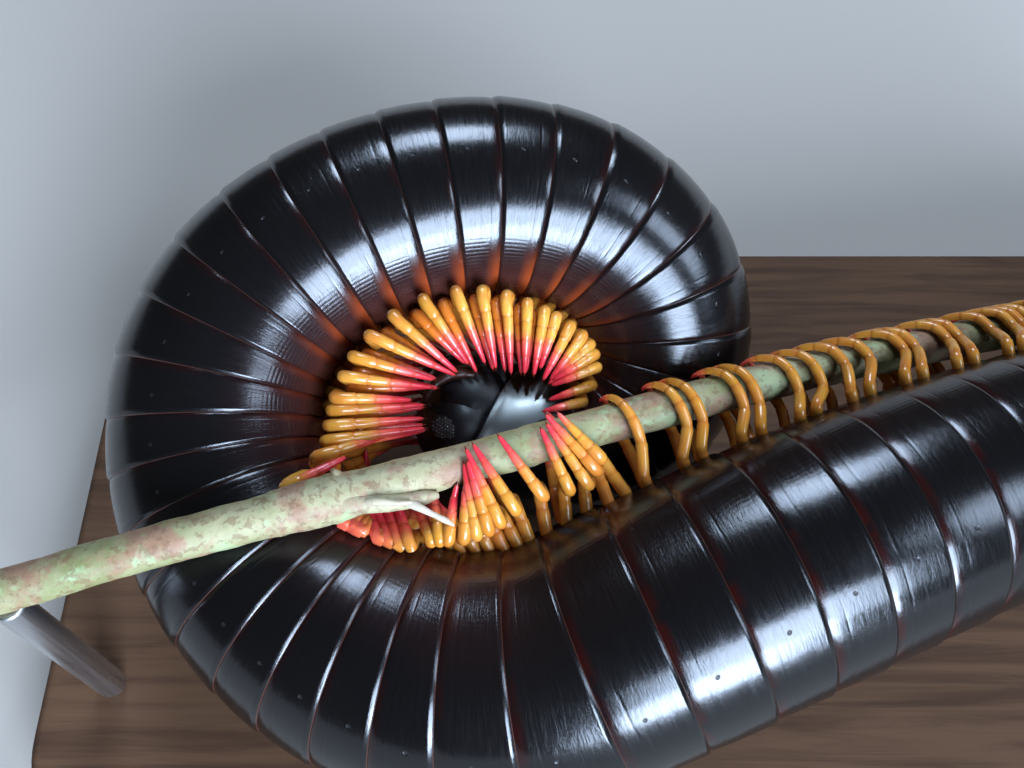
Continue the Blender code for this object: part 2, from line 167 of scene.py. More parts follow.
world = bpy.data.worlds.new("studio")
bpy.context.scene.world = world
world.use_nodes = True
room = world.node_tree.nodes["Background"]
room.inputs["Color"].default_value = (0.90, 0.93, 1.0, 1.0)
room.inputs["Strength"].default_value = 0.06
bpy.context.scene.view_settings.view_transform = "Standard"
print("spot of %.1f W, room light %.2f" % (spot_light.energy, room.inputs["Strength"].default_value))

# %% [markdown]
# Materials and node trees are all made with the same few calls. These helpers add a node, set
# its values, and link what it reads, so that a tree reads from top to bottom as its sum does.

# %% Helpers for node trees


def feed(tree, made, inputs):
    """Give a node's inputs their values, or link them to what other nodes put out."""
    for key, value in inputs.items():
        socket = made.inputs[key]
        if isinstance(value, bpy.types.NodeSocket):
            tree.links.new(value, socket)
        else:
            socket.default_value = value


def node(tree, kind, inputs=None, **settings):
    """New node with its settings and inputs."""
    made = tree.nodes.new(kind)
    for key, value in settings.items():
        setattr(made, key, value)
    feed(tree, made, inputs or {})
    return made


def calc(tree, operation, a, b=0.0, c=0.0):
    """Output of a Math node; unused inputs keep zero."""
    return node(tree, "ShaderNodeMath", {0: a, 1: b, 2: c}, operation=operation).outputs[0]


def times(tree, first, *others):
    """Product of values, a Math node for each further one."""
    for other in others:
        first = calc(tree, "MULTIPLY", first, other)
    return first


def between(tree, value, low, high, to_low=0.0, to_high=1.0):
    """Value carried from one range to another, held at its ends, eased in and out."""
    made = node(tree, "ShaderNodeMapRange",
                {"Value": value, "From Min": low, "From Max": high,
                 "To Min": to_low, "To Max": to_high},
                interpolation_type="SMOOTHSTEP")
    return made.outputs[0]


print("helpers for sums ready")

# %% Helpers for materials


def rgb(red, green, blue):
    return (red, green, blue, 1.0)


def blend(tree, share, first, second):
    """Colour between two colours; the Mix node's colour inputs are numbers 6 and 7."""
    made = node(tree, "ShaderNodeMix", data_type="RGBA")
    feed(tree, made, {0: share, 6: first, 7: second})
    return made.outputs[2]


def new_material(name):
    """Material, its node tree, and the shader that the tree starts with."""
    mat = bpy.data.materials.new(name)
    mat.use_nodes = True
    return mat, mat.node_tree, mat.node_tree.nodes["Principled BSDF"]


def attribute(tree, name):
    return node(tree, "ShaderNodeAttribute", attribute_name=name).outputs["Fac"]


def vector(tree, x, y, z=0.0):
    return node(tree, "ShaderNodeCombineXYZ", {"X": x, "Y": y, "Z": z}).outputs[0]


def object_place(tree):
    return node(tree, "ShaderNodeTexCoord").outputs["Object"]


def noise(tree, where, scale, detail=3.0, roughness=0.5, distortion=0.0):
    made = node(tree, "ShaderNodeTexNoise",
                {"Vector": where, "Scale": scale, "Detail": detail,
                 "Roughness": roughness, "Distortion": distortion})
    return made.outputs["Fac"]


def bump(tree, shader, height, strength, distance):
    """Bump on a shader's normal; a second one goes on top of the first."""
    made = node(tree, "ShaderNodeBump",
                {"Height": height, "Strength": strength, "Distance": distance})
    link = next((ln for ln in tree.links if ln.to_socket == shader.inputs["Normal"]), None)
    if link:
        tree.links.new(link.from_socket, made.inputs["Normal"])
    tree.links.new(made.outputs["Normal"], shader.inputs["Normal"])


print("helpers for materials ready")

# %% [markdown]
# The whole animal hangs on one curve, its body axis. Each row gives a point of the axis, from
# head to tail, and the body's thickness there. The twig has such an axis too. The direction
# that the belly faces turns along the body, because all legs reach for the twig or for the
# middle of the coil: the last table gives what the belly looks at, by distance along the axis.

# %% Axes of the body and the twig
BODY = [
    (-5.8, -0.8, -2.4, 8.0), (-2.7, -2.5, -3.2, 9.2), (0.6, -4.0, -4.0, 10.0),
    (4.3, -4.5, -4.6, 10.5), (8.5, -2.2, -4.8, 11.6), (10.6, 2.8, -4.3, 12.5),
    (9.4, 7.7, -3.3, 13.0), (5.3, 11.3, -2.1, 13.3), (-0.3, 12.6, -1.2, 13.6),
    (-6.2, 11.9, -0.6, 13.8), (-12.1, 9.4, -0.2, 14.0), (-16.6, 5.5, 0.1, 14.2),
    (-19.0, 0.6, 0.5, 14.4), (-19.0, -5.0, 1.1, 14.7), (-16.4, -10.7, 2.3, 15.1),
    (-11.4, -15.3, 3.8, 15.5), (-5.1, -17.6, 5.0, 15.9), (2.0, -17.4, 5.8, 16.2),
    (9.1, -14.5, 6.2, 16.2), (15.8, -11.5, 6.0, 16.0), (23.0, -8.7, 4.9, 15.7),
    (30.4, -6.3, 3.0, 15.3), (38.9, -4.0, 1.0, 14.8), (49.5, -1.4, -0.9, 14.2),
    (60.8, 0.7, -2.2, 13.6), (71.9, 2.2, -2.9, 12.6),
]
TWIG = [
    (-30.2, -12.1, 13.0), (-22.9, -9.9, 12.0), (-12.2, -7.1, 9.9), (-0.7, -4.2, 7.0),
    (11.9, -0.9, 3.9), (23.1, 1.6, 0.9), (34.6, 3.8, -2.4), (46.7, 6.0, -5.2),
    (61.0, 8.4, -7.8), (75.6, 10.6, -9.8),
]
BELLY_AIM = [
    (0.0, (2.3, 3.1, -3.0)), (24.0, (3.4, 2.7, -3.0)), (34.0, (0.6, 1.0, -2.0)),
    (44.0, (-2.3, -1.1, -0.8)), (68.0, (-3.3, -1.9, 1.0)), (80.0, (-4.6, -5.5, 3.0)),
    (88.0, (-4.2, -7.9, 5.0)),
]
BELLY_ON_TWIG = 96.0
print("rows:", len(BODY), "of the body,", len(TWIG), "of the twig")

# %% [markdown]
# A smooth curve through the rows gives a point at any distance. Blender's own curves could do
# that too, but here the same sums also serve to push legs clear of the body, so they are
# written out: slopes that suit uneven gaps, a cubic between two rows, and a running length.

# %% Smooth tracks through rows of points
TRACK_CUTS = 14


def make_track(rows):
    """Smooth curve through the rows, sampled, with the running length of each sample."""
    pts = [Vector(row) for row in rows]
    gaps = [(b.to_3d() - a.to_3d()).length for a, b in zip(pts, pts[1:])]
    steps = [(b - a) / gap for a, b, gap in zip(pts, pts[1:], gaps)]
    slopes = [steps[0]]
    for i in range(1, len(steps)):
        before, after = gaps[i - 1], gaps[i]
        slopes.append((steps[i - 1] * after + steps[i] * before) / (before + after))
    slopes.append(steps[-1])
    samples = []
    for i, gap in enumerate(gaps):
        for j in range(TRACK_CUTS):
            t = j / TRACK_CUTS
            start, lead = 2 * t**3 - 3 * t**2 + 1, t**3 - 2 * t**2 + t
            end, trail = 3 * t**2 - 2 * t**3, t**3 - t**2
            samples.append(pts[i] * start + slopes[i] * (gap * lead)
                           + pts[i + 1] * end + slopes[i + 1] * (gap * trail))
    samples.append(pts[-1])
    run = [0.0]
    for a, b in zip(samples, samples[1:]):
        run.append(run[-1] + (b.to_3d() - a.to_3d()).length)
    return run, samples


def on_track(track, s):
    """Sample of a track at running length s, carried straight on past both ends."""
    run, samples = track
    i = min(max(bisect_right(run, s) - 1, 0), len(run) - 2)
    return samples[i].lerp(samples[i + 1], (s - run[i]) / (run[i + 1] - run[i]))


def direction(track, s, reach=0.4):
    return (on_track(track, s + reach).to_3d() - on_track(track, s - reach).to_3d()).normalized()


def nearest(track, point):
    """Distance, running length and sample of the track's sample nearest to a point."""
    run, samples = track
    return min(((p.to_3d() - point).length, s, p) for s, p in zip(run, samples))


BODY_TRACK = make_track([(*place(a, u, o), d) for a, u, o, d in BODY])
TWIG_TRACK = make_track([(*place(*row), 0.0) for row in TWIG])
print("body axis %.1f mm, twig %.1f mm" % (BODY_TRACK[0][-1], TWIG_TRACK[0][-1]))

# %% [markdown]
# Many sizes change along the body. They stand in tables of a distance and a value, and a
# straight line joins two rows. From the tracks and the tables comes the body's own frame at any
# distance: where its centre lies, and which way its rear, its belly and its near side point.

# %% Tables along the body, and the body's frame


def rows_round(table, s):
    """Values of the two rows on either side of s, and how far s is between them."""
    for (s0, a), (s1, b) in zip(table, table[1:]):
        if s <= s1:
            return a, b, max(0.0, (s - s0) / (s1 - s0))
    return table[-1][1], table[-1][1], 0.0


def number_at(table, s):
    a, b, share_here = rows_round(table, s)
    return a + (b - a) * share_here


def point_at(table, s):
    a, b, share_here = rows_round(table, s)
    return place(*a).lerp(place(*b), share_here)


def body_frame(s):
    """Centre, radius, rearward direction, belly direction and direction of the near side."""
    sample = on_track(BODY_TRACK, s)
    centre = sample.to_3d()
    rear = direction(BODY_TRACK, s)
    last_aim = BELLY_AIM[-1][0]
    aim = point_at(BELLY_AIM, s)
    if s > last_aim:
        on_twig = nearest(TWIG_TRACK, centre)[2].to_3d()
        aim = aim.lerp(on_twig, min(1.0, (s - last_aim) / (BELLY_ON_TWIG - last_aim)))
    belly = aim - centre
    belly = (belly - rear * belly.dot(rear)).normalized()
    side = rear.cross(belly)
    if side.dot(VIEW) < 0:
        side = -side
    return centre, sample[3] / 2, rear, belly, side


print("radius at 60 mm: %.2f mm" % body_frame(60.0)[1])

# %% [markdown]
# A millipede's rings telescope: where the body curls tightly they slide into one another, and
# where it lies straight more of each shows. So the length that shows of a ring changes along
# the body, and a loop adds those lengths up to find where each ring begins.

# %% Rings along the body
FIRST_EDGE = 9.9
TRUNK_RINGS = 50
RING_PITCH = [
    (10.0, 2.48), (25.0, 2.7), (40.0, 3.0), (60.0, 2.78), (77.0, 2.7), (79.0, 2.55),
    (87.0, 3.0), (90.0, 3.9), (94.0, 4.4), (103.0, 4.1), (108.0, 3.6), (122.0, 3.65),
    (150.0, 3.42), (165.0, 2.85),
]
LENGTHS = [
    ("neck", 0, 8), ("coil_front", 8, 15), ("coil_rear", 15, 25), ("bend", 25, 32),
    ("back", 32, 38), ("rump", 38, 44), ("tail", 44, TRUNK_RINGS),
]

EDGES = [FIRST_EDGE]
while len(EDGES) <= TRUNK_RINGS:
    EDGES.append(EDGES[-1] + number_at(RING_PITCH, EDGES[-1]))
print("rings from %.1f to %.1f mm" % (EDGES[0], EDGES[-1]))

# %% [markdown]
# Small tools turn lists of points into meshes. A path mesh carries its numbers as attributes,
# which a Geometry Nodes tree reads by name. `bake` is the step that turns a tree's result into
# a plain mesh: the modifier is evaluated once, and its mesh replaces the path.

# %% Helpers for meshes


def path_mesh(name, points, edges, **columns):
    """Mesh of points in millimetres, joined by edges, with one attribute for each column."""
    mesh = bpy.data.meshes.new(name)
    mesh.from_pydata([p * MM for p in points], edges, [])
    for column, values in columns.items():
        if isinstance(values[0], Vector):
            layer = mesh.attributes.new(column, "FLOAT_VECTOR", "POINT")
            layer.data.foreach_set("vector", [c for v in values for c in v])
        else:
            layer = mesh.attributes.new(column, "FLOAT", "POINT")
            layer.data.foreach_set("value", values)
    return add_object(name, mesh)


def smooth(ob, angle=60.0):
    """Smooth shading, but for edges sharper than an angle in degrees."""
    ob.data.shade_smooth()
    ob.data.set_sharp_from_angle(angle=math.radians(angle))


def bake(ob, tree, angle=60.0, **settings):
    """Evaluate a Geometry Nodes tree on an object and keep its result as a plain mesh."""
    modifier = ob.modifiers.new("build", "NODES")
    modifier.node_group = tree
    sockets = {item.name: item.identifier for item in tree.interface.items_tree
               if item.item_type == "SOCKET" and item.in_out == "INPUT"}
    for name, value in settings.items():
        modifier[sockets[name]] = value
    graph = bpy.context.evaluated_depsgraph_get()
    mesh = bpy.data.meshes.new_from_object(ob.evaluated_get(graph))
    ob.modifiers.clear()
    old = ob.data
    ob.data = mesh
    bpy.data.meshes.remove(old)
    mesh.name = ob.name
    smooth(ob, angle)


def from_bmesh(name, bm, *materials):
    """Object of a bmesh, with its materials."""
    mesh = bpy.data.meshes.new(name)
    bm.to_mesh(mesh)
    bm.free()
    for material in materials:
        mesh.materials.append(material)
    return add_object(name, mesh)


PIECES = []


def keep(ob, cad_node):
    """Hang a finished piece on the still body in place of one CAD node, which is hidden, and list
    it.
    """
    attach(ob, "root")
    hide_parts(cad_node)
    PIECES.append(ob)
    tris = sum(len(p.vertices) - 2 for p in ob.data.polygons)
    print("%-18s %6d triangles" % (ob.name, tris))


print("helpers for meshes ready")

# %% Helpers for Geometry Nodes


def new_tree(name, inputs):
    """Geometry Nodes tree with its group input and output; inputs are (name, kind, value)."""
    tree = bpy.data.node_groups.new(name, "GeometryNodeTree")
    tree.interface.new_socket("Geometry", in_out="INPUT", socket_type="NodeSocketGeometry")
    for label, kind, value in inputs:
        item = tree.interface.new_socket(label, in_out="INPUT", socket_type="NodeSocket" + kind)
        if value is not None:
            item.default_value = value
    tree.interface.new_socket("Geometry", in_out="OUTPUT", socket_type="NodeSocketGeometry")
    return tree, tree.nodes.new("NodeGroupInput").outputs, tree.nodes.new("NodeGroupOutput")


def finish_tree(tree, result, material, output):
    """The two nodes that each tree ends in: real geometry, and its material."""
    real = node(tree, "GeometryNodeRealizeInstances", {0: result})
    dressed = node(tree, "GeometryNodeSetMaterial", {0: real.outputs[0], "Material": material})
    tree.links.new(dressed.outputs[0], output.inputs[0])


def named(tree, name, kind="FLOAT"):
    """A named attribute of the geometry."""
    made = node(tree, "GeometryNodeInputNamedAttribute", {"Name": name}, data_type=kind)
    return made.outputs["Attribute"]


def store(tree, geometry, name, value):
    """The geometry with a number kept on each of its points."""
    made = node(tree, "GeometryNodeStoreNamedAttribute",
                {"Geometry": geometry, "Name": name, "Value": value},
                data_type="FLOAT", domain="POINT")
    return made.outputs[0]


def scaled(tree, arrow, factor):
    made = node(tree, "ShaderNodeVectorMath", {0: arrow, "Scale": factor}, operation="SCALE")
    return made.outputs[0]


def summed(tree, first, second):
    return node(tree, "ShaderNodeVectorMath", {0: first, 1: second}, operation="ADD").outputs[0]


def sweep(tree, line, sides, girth, column=None):
    """Tube along a line, scaled by the attribute girth; a column says how far round it is."""
    circle = node(tree, "GeometryNodeCurvePrimitiveCircle", {"Resolution": sides, "Radius": MM})
    section = circle.outputs[0]
    if column:
        turn = calc(tree, "DIVIDE", node(tree, "GeometryNodeInputIndex").outputs[0], sides)
        section = store(tree, section, column, turn)
    rail = node(tree, "GeometryNodeMeshToCurve", {0: line}).outputs[0]
    made = node(tree, "GeometryNodeCurveToMesh",
                {"Curve": rail, "Profile Curve": section, "Scale": named(tree, girth),
                 "Fill Caps": True})
    return made.outputs[0]


print("helpers for Geometry Nodes ready")

# %% [markdown]
# ## Rings
# Each ring is one hard tube. Its smooth front part slips under the ring before it; a fine
# groove divides it from the rear part, which widens a little and ends in a rounded margin. The
# section of a ring is drawn once, as shares of its length and of the body's radius, and closed
# on the inside, so that a ring has real walls. Only the rounded margin is given in millimetres,
# because it is as wide on a long ring as on a short one.

# %% Section of a ring
SHELL_SECTION = [
    (-0.13, 0.900), (-0.13, 0.946), (-0.10, 0.957), (-0.04, 0.9665), (0.0, 0.9720),
    (0.03, 0.9765), (0.06, 0.9795), (0.10, 0.9815), (0.15, 0.9830), (0.22, 0.9843),
    (0.238, 0.9844), (0.25, 0.9838), (0.264, 0.9849), (0.29, 0.9857), (0.38, 0.9872),
    (0.52, 0.9892), (0.68, 0.9912), (0.80, 0.9930),
]
MARGIN_SECTION = [
    (0.36, 0.9945), (0.30, 0.9948), (0.26, 0.9940), (0.21, 0.9916), (0.16, 0.9886),
    (0.11, 0.9852), (0.06, 0.9812), (0.025, 0.9775), (0.008, 0.9735), (0.0, 0.968),
    (0.02, 0.960), (0.20, 0.948),
]
INNER_SECTION = [(0.80, 0.930), (0.40, 0.905)]
FIRST_SKIN = 2
LAST_SKIN = len(SHELL_SECTION) + len(MARGIN_SECTION) - 3


def ring_section(pitch):
    """Stations of one ring's closed section: share of its length and share of the radius."""
    margin = [(1.0 - back / pitch, size) for back, size in MARGIN_SECTION]
    return SHELL_SECTION + margin + INNER_SECTION


print("stations of a section:", len(ring_section(RING_PITCH[0][1])))

# %% [markdown]
# A tree sweeps a circle round each closed section and then puts every point where the body's
# centre, belly and side directions say. More of the circle's points go to the belly half,
# because it carries fine lengthwise ridges: every third point there is the crest of one.

# %% Tree that builds the rings: a circle that knows its belly
RING_POINTS = 300
BELLY_HALF_ANGLE = math.radians(72.0)
BELLY_SHARE = 0.62

ring_tree, ring_in, ring_out = new_tree("millipede rings", [
    ("Points around", "Int", RING_POINTS),
    ("Belly share", "Float", BELLY_SHARE),
    ("Belly half angle", "Float", BELLY_HALF_ANGLE),
    ("Ridge height", "Float", 0.000016),
    ("Material", "Material", None),
])
rails = node(ring_tree, "GeometryNodeMeshToCurve", {0: ring_in["Geometry"]})
circle = node(ring_tree, "GeometryNodeCurvePrimitiveCircle",
              {"Resolution": ring_in["Points around"], "Radius": MM})
step = node(ring_tree, "GeometryNodeInputIndex").outputs[0]
turn = calc(ring_tree, "DIVIDE", step, ring_in["Points around"])
signed = calc(ring_tree, "MULTIPLY_ADD", turn, 2.0, -1.0)
from_belly = calc(ring_tree, "SUBTRACT", 1.0, calc(ring_tree, "ABSOLUTE", signed))
low_part = node(ring_tree, "ShaderNodeMapRange",
                {"Value": from_belly, "From Max": ring_in["Belly share"],
                 "To Max": ring_in["Belly half angle"]})
back_angle = calc(ring_tree, "SUBTRACT", math.pi, ring_in["Belly half angle"])
high_part = node(ring_tree, "ShaderNodeMapRange",
                 {"Value": from_belly, "From Min": ring_in["Belly share"], "From Max": 1.0,
                  "To Max": back_angle})
belly_angle = calc(ring_tree, "ADD", low_part.outputs[0], high_part.outputs[0])
hand = calc(ring_tree, "SIGN", calc(ring_tree, "ADD", signed, 0.0001))
from_back = times(ring_tree, hand, calc(ring_tree, "SUBTRACT", math.pi, belly_angle))
profile = store(ring_tree, circle.outputs["Curve"], "around", from_back)
ridge = calc(ring_tree, "COSINE", times(ring_tree, step, 2 * math.pi / 3))
profile = store(ring_tree, profile, "ridge", ridge)
swept = node(ring_tree, "GeometryNodeCurveToMesh",
             {"Curve": rails.outputs[0], "Profile Curve": profile}).outputs[0]
print("circle of", RING_POINTS, "points")

# %% [markdown]
# The ridges fade where the real ones do: on the flanks, in front of the groove, on the margin,
# and on the rings behind the coil, which are nearly smooth. Each fade is a factor of the height.

# %% Tree that builds the rings: ridges and places
angle = named(ring_tree, "around")
ridged = [
    between(ring_tree, calc(ring_tree, "ABSOLUTE", angle), math.radians(113.0), math.radians(135.0)),
    between(ring_tree, named(ring_tree, "share"), 0.27, 0.36),
    between(ring_tree, named(ring_tree, "share"), 0.90, 0.97, 1.0, 0.0),
    between(ring_tree, named(ring_tree, "along"), 62.0, 78.0, 1.0, 0.22),
    named(ring_tree, "skin"),
]
depth = times(ring_tree, named(ring_tree, "ridge"), ring_in["Ridge height"], *ridged)
reach = calc(ring_tree, "ADD", named(ring_tree, "reach"), depth)
down = times(ring_tree, calc(ring_tree, "COSINE", angle), -1.0)
spoke = summed(ring_tree,
               scaled(ring_tree, named(ring_tree, "belly", "FLOAT_VECTOR"), down),
               scaled(ring_tree, named(ring_tree, "side", "FLOAT_VECTOR"),
                      calc(ring_tree, "SINE", angle)))
shell_point = summed(ring_tree, named(ring_tree, "centre", "FLOAT_VECTOR"),
                     scaled(ring_tree, spoke, reach))
shells = node(ring_tree, "GeometryNodeSetPosition",
              {"Geometry": swept, "Position": shell_point}).outputs[0]
finish_tree(ring_tree, shells, ring_in["Material"], ring_out)
print("ring tree:", len(ring_tree.nodes), "nodes")

# %% [markdown]
# Fine scratches run round the cuticle, and wrinkles cross its belly half. Both are noise on
# coordinates that follow the ring and not the world, so they turn with the coil. Masks say
# which part of a ring a point lies on, and whether the ring belongs to the coil.

# %% Cuticle: where a point lies
cuticle, tree, shader = new_material("black_cuticle")
share = attribute(tree, "share")
around = attribute(tree, "around")
along = attribute(tree, "along")
ring_number = attribute(tree, "ring")
skin = attribute(tree, "skin")
under = calc(tree, "ABSOLUTE", around)
straight = between(tree, along, 84.0, 100.0)
coiled = calc(tree, "SUBTRACT", 1.0, straight)
front_part = times(tree, between(tree, share, 0.17, 0.03), skin)
# Mask of a ring's front part, which takes the orange red and its painted glow.
painted_glow_front = times(tree, between(tree, share, 0.44, 0.02), skin)
flank = between(tree, under, math.radians(98.0), math.radians(150.0))
near_belly = between(tree, under, math.radians(118.0), math.radians(154.0))
deep_flank = between(tree, under, math.radians(134.0), math.radians(166.0))
scratch_place = vector(tree, times(tree, around, 4.2), times(tree, along, 13.0),
                       times(tree, ring_number, 3.7))
wrinkle_place = vector(tree, times(tree, around, 9.0), times(tree, along, 4.5), ring_number)
scratches = noise(tree, scratch_place, 1.0, 4.0, 0.6, 0.4)
wrinkles = noise(tree, wrinkle_place, 1.0, 5.0, 0.6, 1.1)
clouds = noise(tree, object_place(tree), 160.0, 3.0, 0.5)
dents = noise(tree, object_place(tree), 560.0, 2.0, 0.5)
print("masks and noises:", len(tree.nodes), "nodes")

# %% [markdown]
# The cuticle is black, but not one black. The flanks of the belly half are a purplish brown,
# and the front part of a ring is dark red, in patches.

# %% Cuticle: black, brown and dark red
black = blend(tree, clouds, rgb(0.0022, 0.0021, 0.0025), rgb(0.0050, 0.0042, 0.0044))
brown = blend(tree, straight,
              blend(tree, wrinkles, rgb(0.012, 0.005, 0.006), rgb(0.030, 0.011, 0.011)),
              blend(tree, wrinkles, rgb(0.005, 0.003, 0.0025), rgb(0.015, 0.007, 0.005)))
colour = blend(tree, flank, black, brown)
colour = blend(tree, times(tree, deep_flank, coiled), colour, rgb(0.070, 0.020, 0.013))
dark_red = blend(tree, straight, rgb(0.008, 0.0026, 0.0026), rgb(0.017, 0.0022, 0.0018))
patches = between(tree, dents, 0.34, 0.62)
colour = blend(tree, times(tree, front_part, patches), colour, dark_red)
print("body colours:", len(tree.nodes), "nodes")

# %% [markdown]
# At the front of a ring near the belly the cuticle is a dark orange red. Over it lies a brighter
# orange, strongest on the rings at the top of the coil: a painted glow of light shining through
# the thin cuticle. The edge of the margin is horn brown. A small pit on each flank is the mouth
# of the stink gland; it is a distance from a point, measured on the ring, and it is painted near
# black as painted shade inside the pit.

# %% Cuticle: painted glow, margin and pore
# The painted glow, standing for light shining through the cuticle, is strongest at this distance
# along the body.
PAINTED_GLOW_AT = 42.0
PORE_ANGLE, PORE_BACK, PORE_AT_RADIUS = math.radians(71.0), 1.75, 7.4

from_painted_glow = calc(tree, "ABSOLUTE", calc(tree, "SUBTRACT", along, PAINTED_GLOW_AT))
orange_and_painted_glow = blend(tree, between(tree, from_painted_glow, 20.0, 7.0), rgb(0.075, 0.013, 0.006),
               rgb(0.24, 0.042, 0.010))
# The orange and its painted glow go on the front part near the belly, less on the straight part.
painted_glow = times(tree, painted_glow_front, near_belly, between(tree, straight, 0.0, 1.0, 1.0, 0.25))
colour = blend(tree, painted_glow, colour, orange_and_painted_glow)
margin = times(tree, between(tree, attribute(tree, "to_edge"), 0.070, 0.030), skin)
colour = blend(tree, margin, colour, rgb(0.040, 0.014, 0.010))
across_pore = times(tree, calc(tree, "SUBTRACT", under, PORE_ANGLE), PORE_AT_RADIUS)
along_pore = calc(tree, "SUBTRACT", attribute(tree, "from_front"), PORE_BACK)
pore_gap = calc(tree, "SQRT", calc(tree, "ADD", times(tree, across_pore, across_pore),
                                   times(tree, along_pore, along_pore)))
pore = times(tree, between(tree, pore_gap, 0.13, 0.07), skin)
# The pore is painted near black: painted shade inside the pit.
colour = blend(tree, pore, colour, rgb(0.0015, 0.0012, 0.0012))
print("glow, margin and pore:", len(tree.nodes), "nodes")

# %% [markdown]
# The gloss varies with the scratches, which gives the highlights their streaks. The front part
# of a ring is rubbed smoother by the ring before it, and a pore is dull.

# %% Cuticle: gloss and relief
gloss = between(tree, scratches, 0.30, 0.75, 0.15, 0.25)
gloss = calc(tree, "SUBTRACT", gloss, times(tree, front_part, 0.03))
gloss = calc(tree, "ADD", gloss, times(tree, pore, 0.4))
feed(tree, shader, {
    "Base Color": colour, "Roughness": gloss, "Specular IOR Level": 0.46,
    "Specular Tint": rgb(0.86, 0.92, 1.0), "Coat Weight": 0.08, "Coat Roughness": 0.12})
relief = calc(tree, "ADD", times(tree, scratches, 0.55), wrinkles)
bump(tree, shader, relief, 0.16, 0.00008)
bump(tree, shader, dents, 0.11, 0.00009)
bump(tree, shader, between(tree, pore_gap, 0.05, 0.15), 0.6, 0.00006)
print("cuticle:", len(tree.nodes), "nodes")

# %% [markdown]
# The rings of one length of the body make one piece. Every station of every ring is a point of
# a path, and it carries what the tree and the material read there.

# %% Build the rings of each length
FIRST_PORE_RING = 4
NO_PORE = 9.0


def ring_paths(first, last):
    """Closed sections of rings, as points and edges, with what the tree reads at each."""
    rows = {key: [] for key in ("centre", "belly", "side", "reach", "share", "along",
                                "ring", "skin", "to_edge", "from_front")}
    points, edges = [], []
    for ring in range(first, last):
        start = len(points)
        pitch = EDGES[ring + 1] - EDGES[ring]
        section = ring_section(pitch)
        for k, (share_here, size) in enumerate(section):
            s = EDGES[ring] + share_here * pitch
            centre, radius, _, belly, side = body_frame(s)
            points.append(centre + belly * (radius * size))
            edges.append((start + k, start + (k + 1) % len(section)))
            station = {
                "centre": centre * MM, "belly": belly, "side": side,
                "reach": radius * size * MM, "share": share_here, "along": s,
                "ring": float(ring), "skin": float(FIRST_SKIN <= k <= LAST_SKIN),
                "to_edge": (1.0 - share_here) * pitch,
                "from_front": share_here * pitch if ring >= FIRST_PORE_RING else NO_PORE,
            }
            for key, value in station.items():
                rows[key].append(value)
    return points, edges, rows


def turn_outward(ob):
    """Turn the faces round if they point inwards."""
    bm = bmesh.new()
    bm.from_mesh(ob.data)
    if bm.calc_volume(signed=True) < 0:
        bmesh.ops.reverse_faces(bm, faces=bm.faces)
    bm.to_mesh(ob.data)
    bm.free()


for length, first, last in LENGTHS:
    points, edges, rows = ring_paths(first, last)
    rings = path_mesh("rings_" + length, points, edges, **rows)
    bake(rings, ring_tree, 75.0, Material=cuticle)
    turn_outward(rings)
    keep(rings, "trunk_" + length)

# %% [markdown]
# ## Legs
# Two pairs of legs grow from each ring. In the coil they rise to a knee at the coil's inner edge
# and reach for its middle, where the head lies. Two tables, read off the photo in the coil's
# plane, say where the knees and the claws of the near side lie for a leg that grows at a given
# distance along the body.

# %% Knees and claws in the coil
KNEES = [
    (11.0, (4.6, -1.3, 1.2)), (14.0, (5.3, 0.0, 1.6)), (17.0, (5.5, 1.3, 2.0)),
    (21.0, (5.2, 2.5, 2.2)), (25.0, (4.4, 3.4, 2.4)), (31.0, (2.4, 4.6, 2.8)),
    (36.5, (0.3, 5.5, 3.2)), (39.0, (-1.0, 5.9, 3.5)), (42.0, (-2.6, 6.0, 3.8)),
    (44.5, (-4.3, 5.8, 4.0)), (46.7, (-5.8, 5.3, 4.2)), (49.0, (-7.2, 4.5, 4.4)),
    (51.0, (-8.5, 3.6, 4.6)), (53.5, (-9.5, 2.4, 4.8)), (56.5, (-10.3, 1.1, 5.0)),
    (60.0, (-10.9, -0.5, 5.2)), (64.5, (-11.3, -2.0, 5.4)), (68.0, (-11.4, -3.2, 5.7)),
    (71.0, (-11.5, -4.2, 6.3)), (72.5, (-12.1, -4.9, 7.5)), (74.5, (-13.4, -6.0, 8.7)),
    (76.5, (-10.4, -8.9, 7.6)), (79.0, (-9.5, -9.0, 7.9)), (81.0, (-8.9, -9.0, 8.0)),
    (83.0, (-7.6, -9.4, 8.2)), (86.0, (-6.3, -9.7, 8.4)), (88.2, (-4.8, -9.3, 8.4)),
    (90.8, (-3.7, -9.2, 8.8)), (92.2, (-2.6, -9.1, 8.8)), (93.8, (-1.6, -8.7, 8.8)),
    (95.4, (-0.9, -8.4, 8.8)), (97.0, (-0.1, -7.6, 8.8)), (98.6, (1.7, -6.7, 8.3)),
    (100.4, (3.6, -6.3, 7.8)), (102.1, (5.1, -5.9, 7.3)), (103.8, (5.3, -4.5, 7.6)),
]
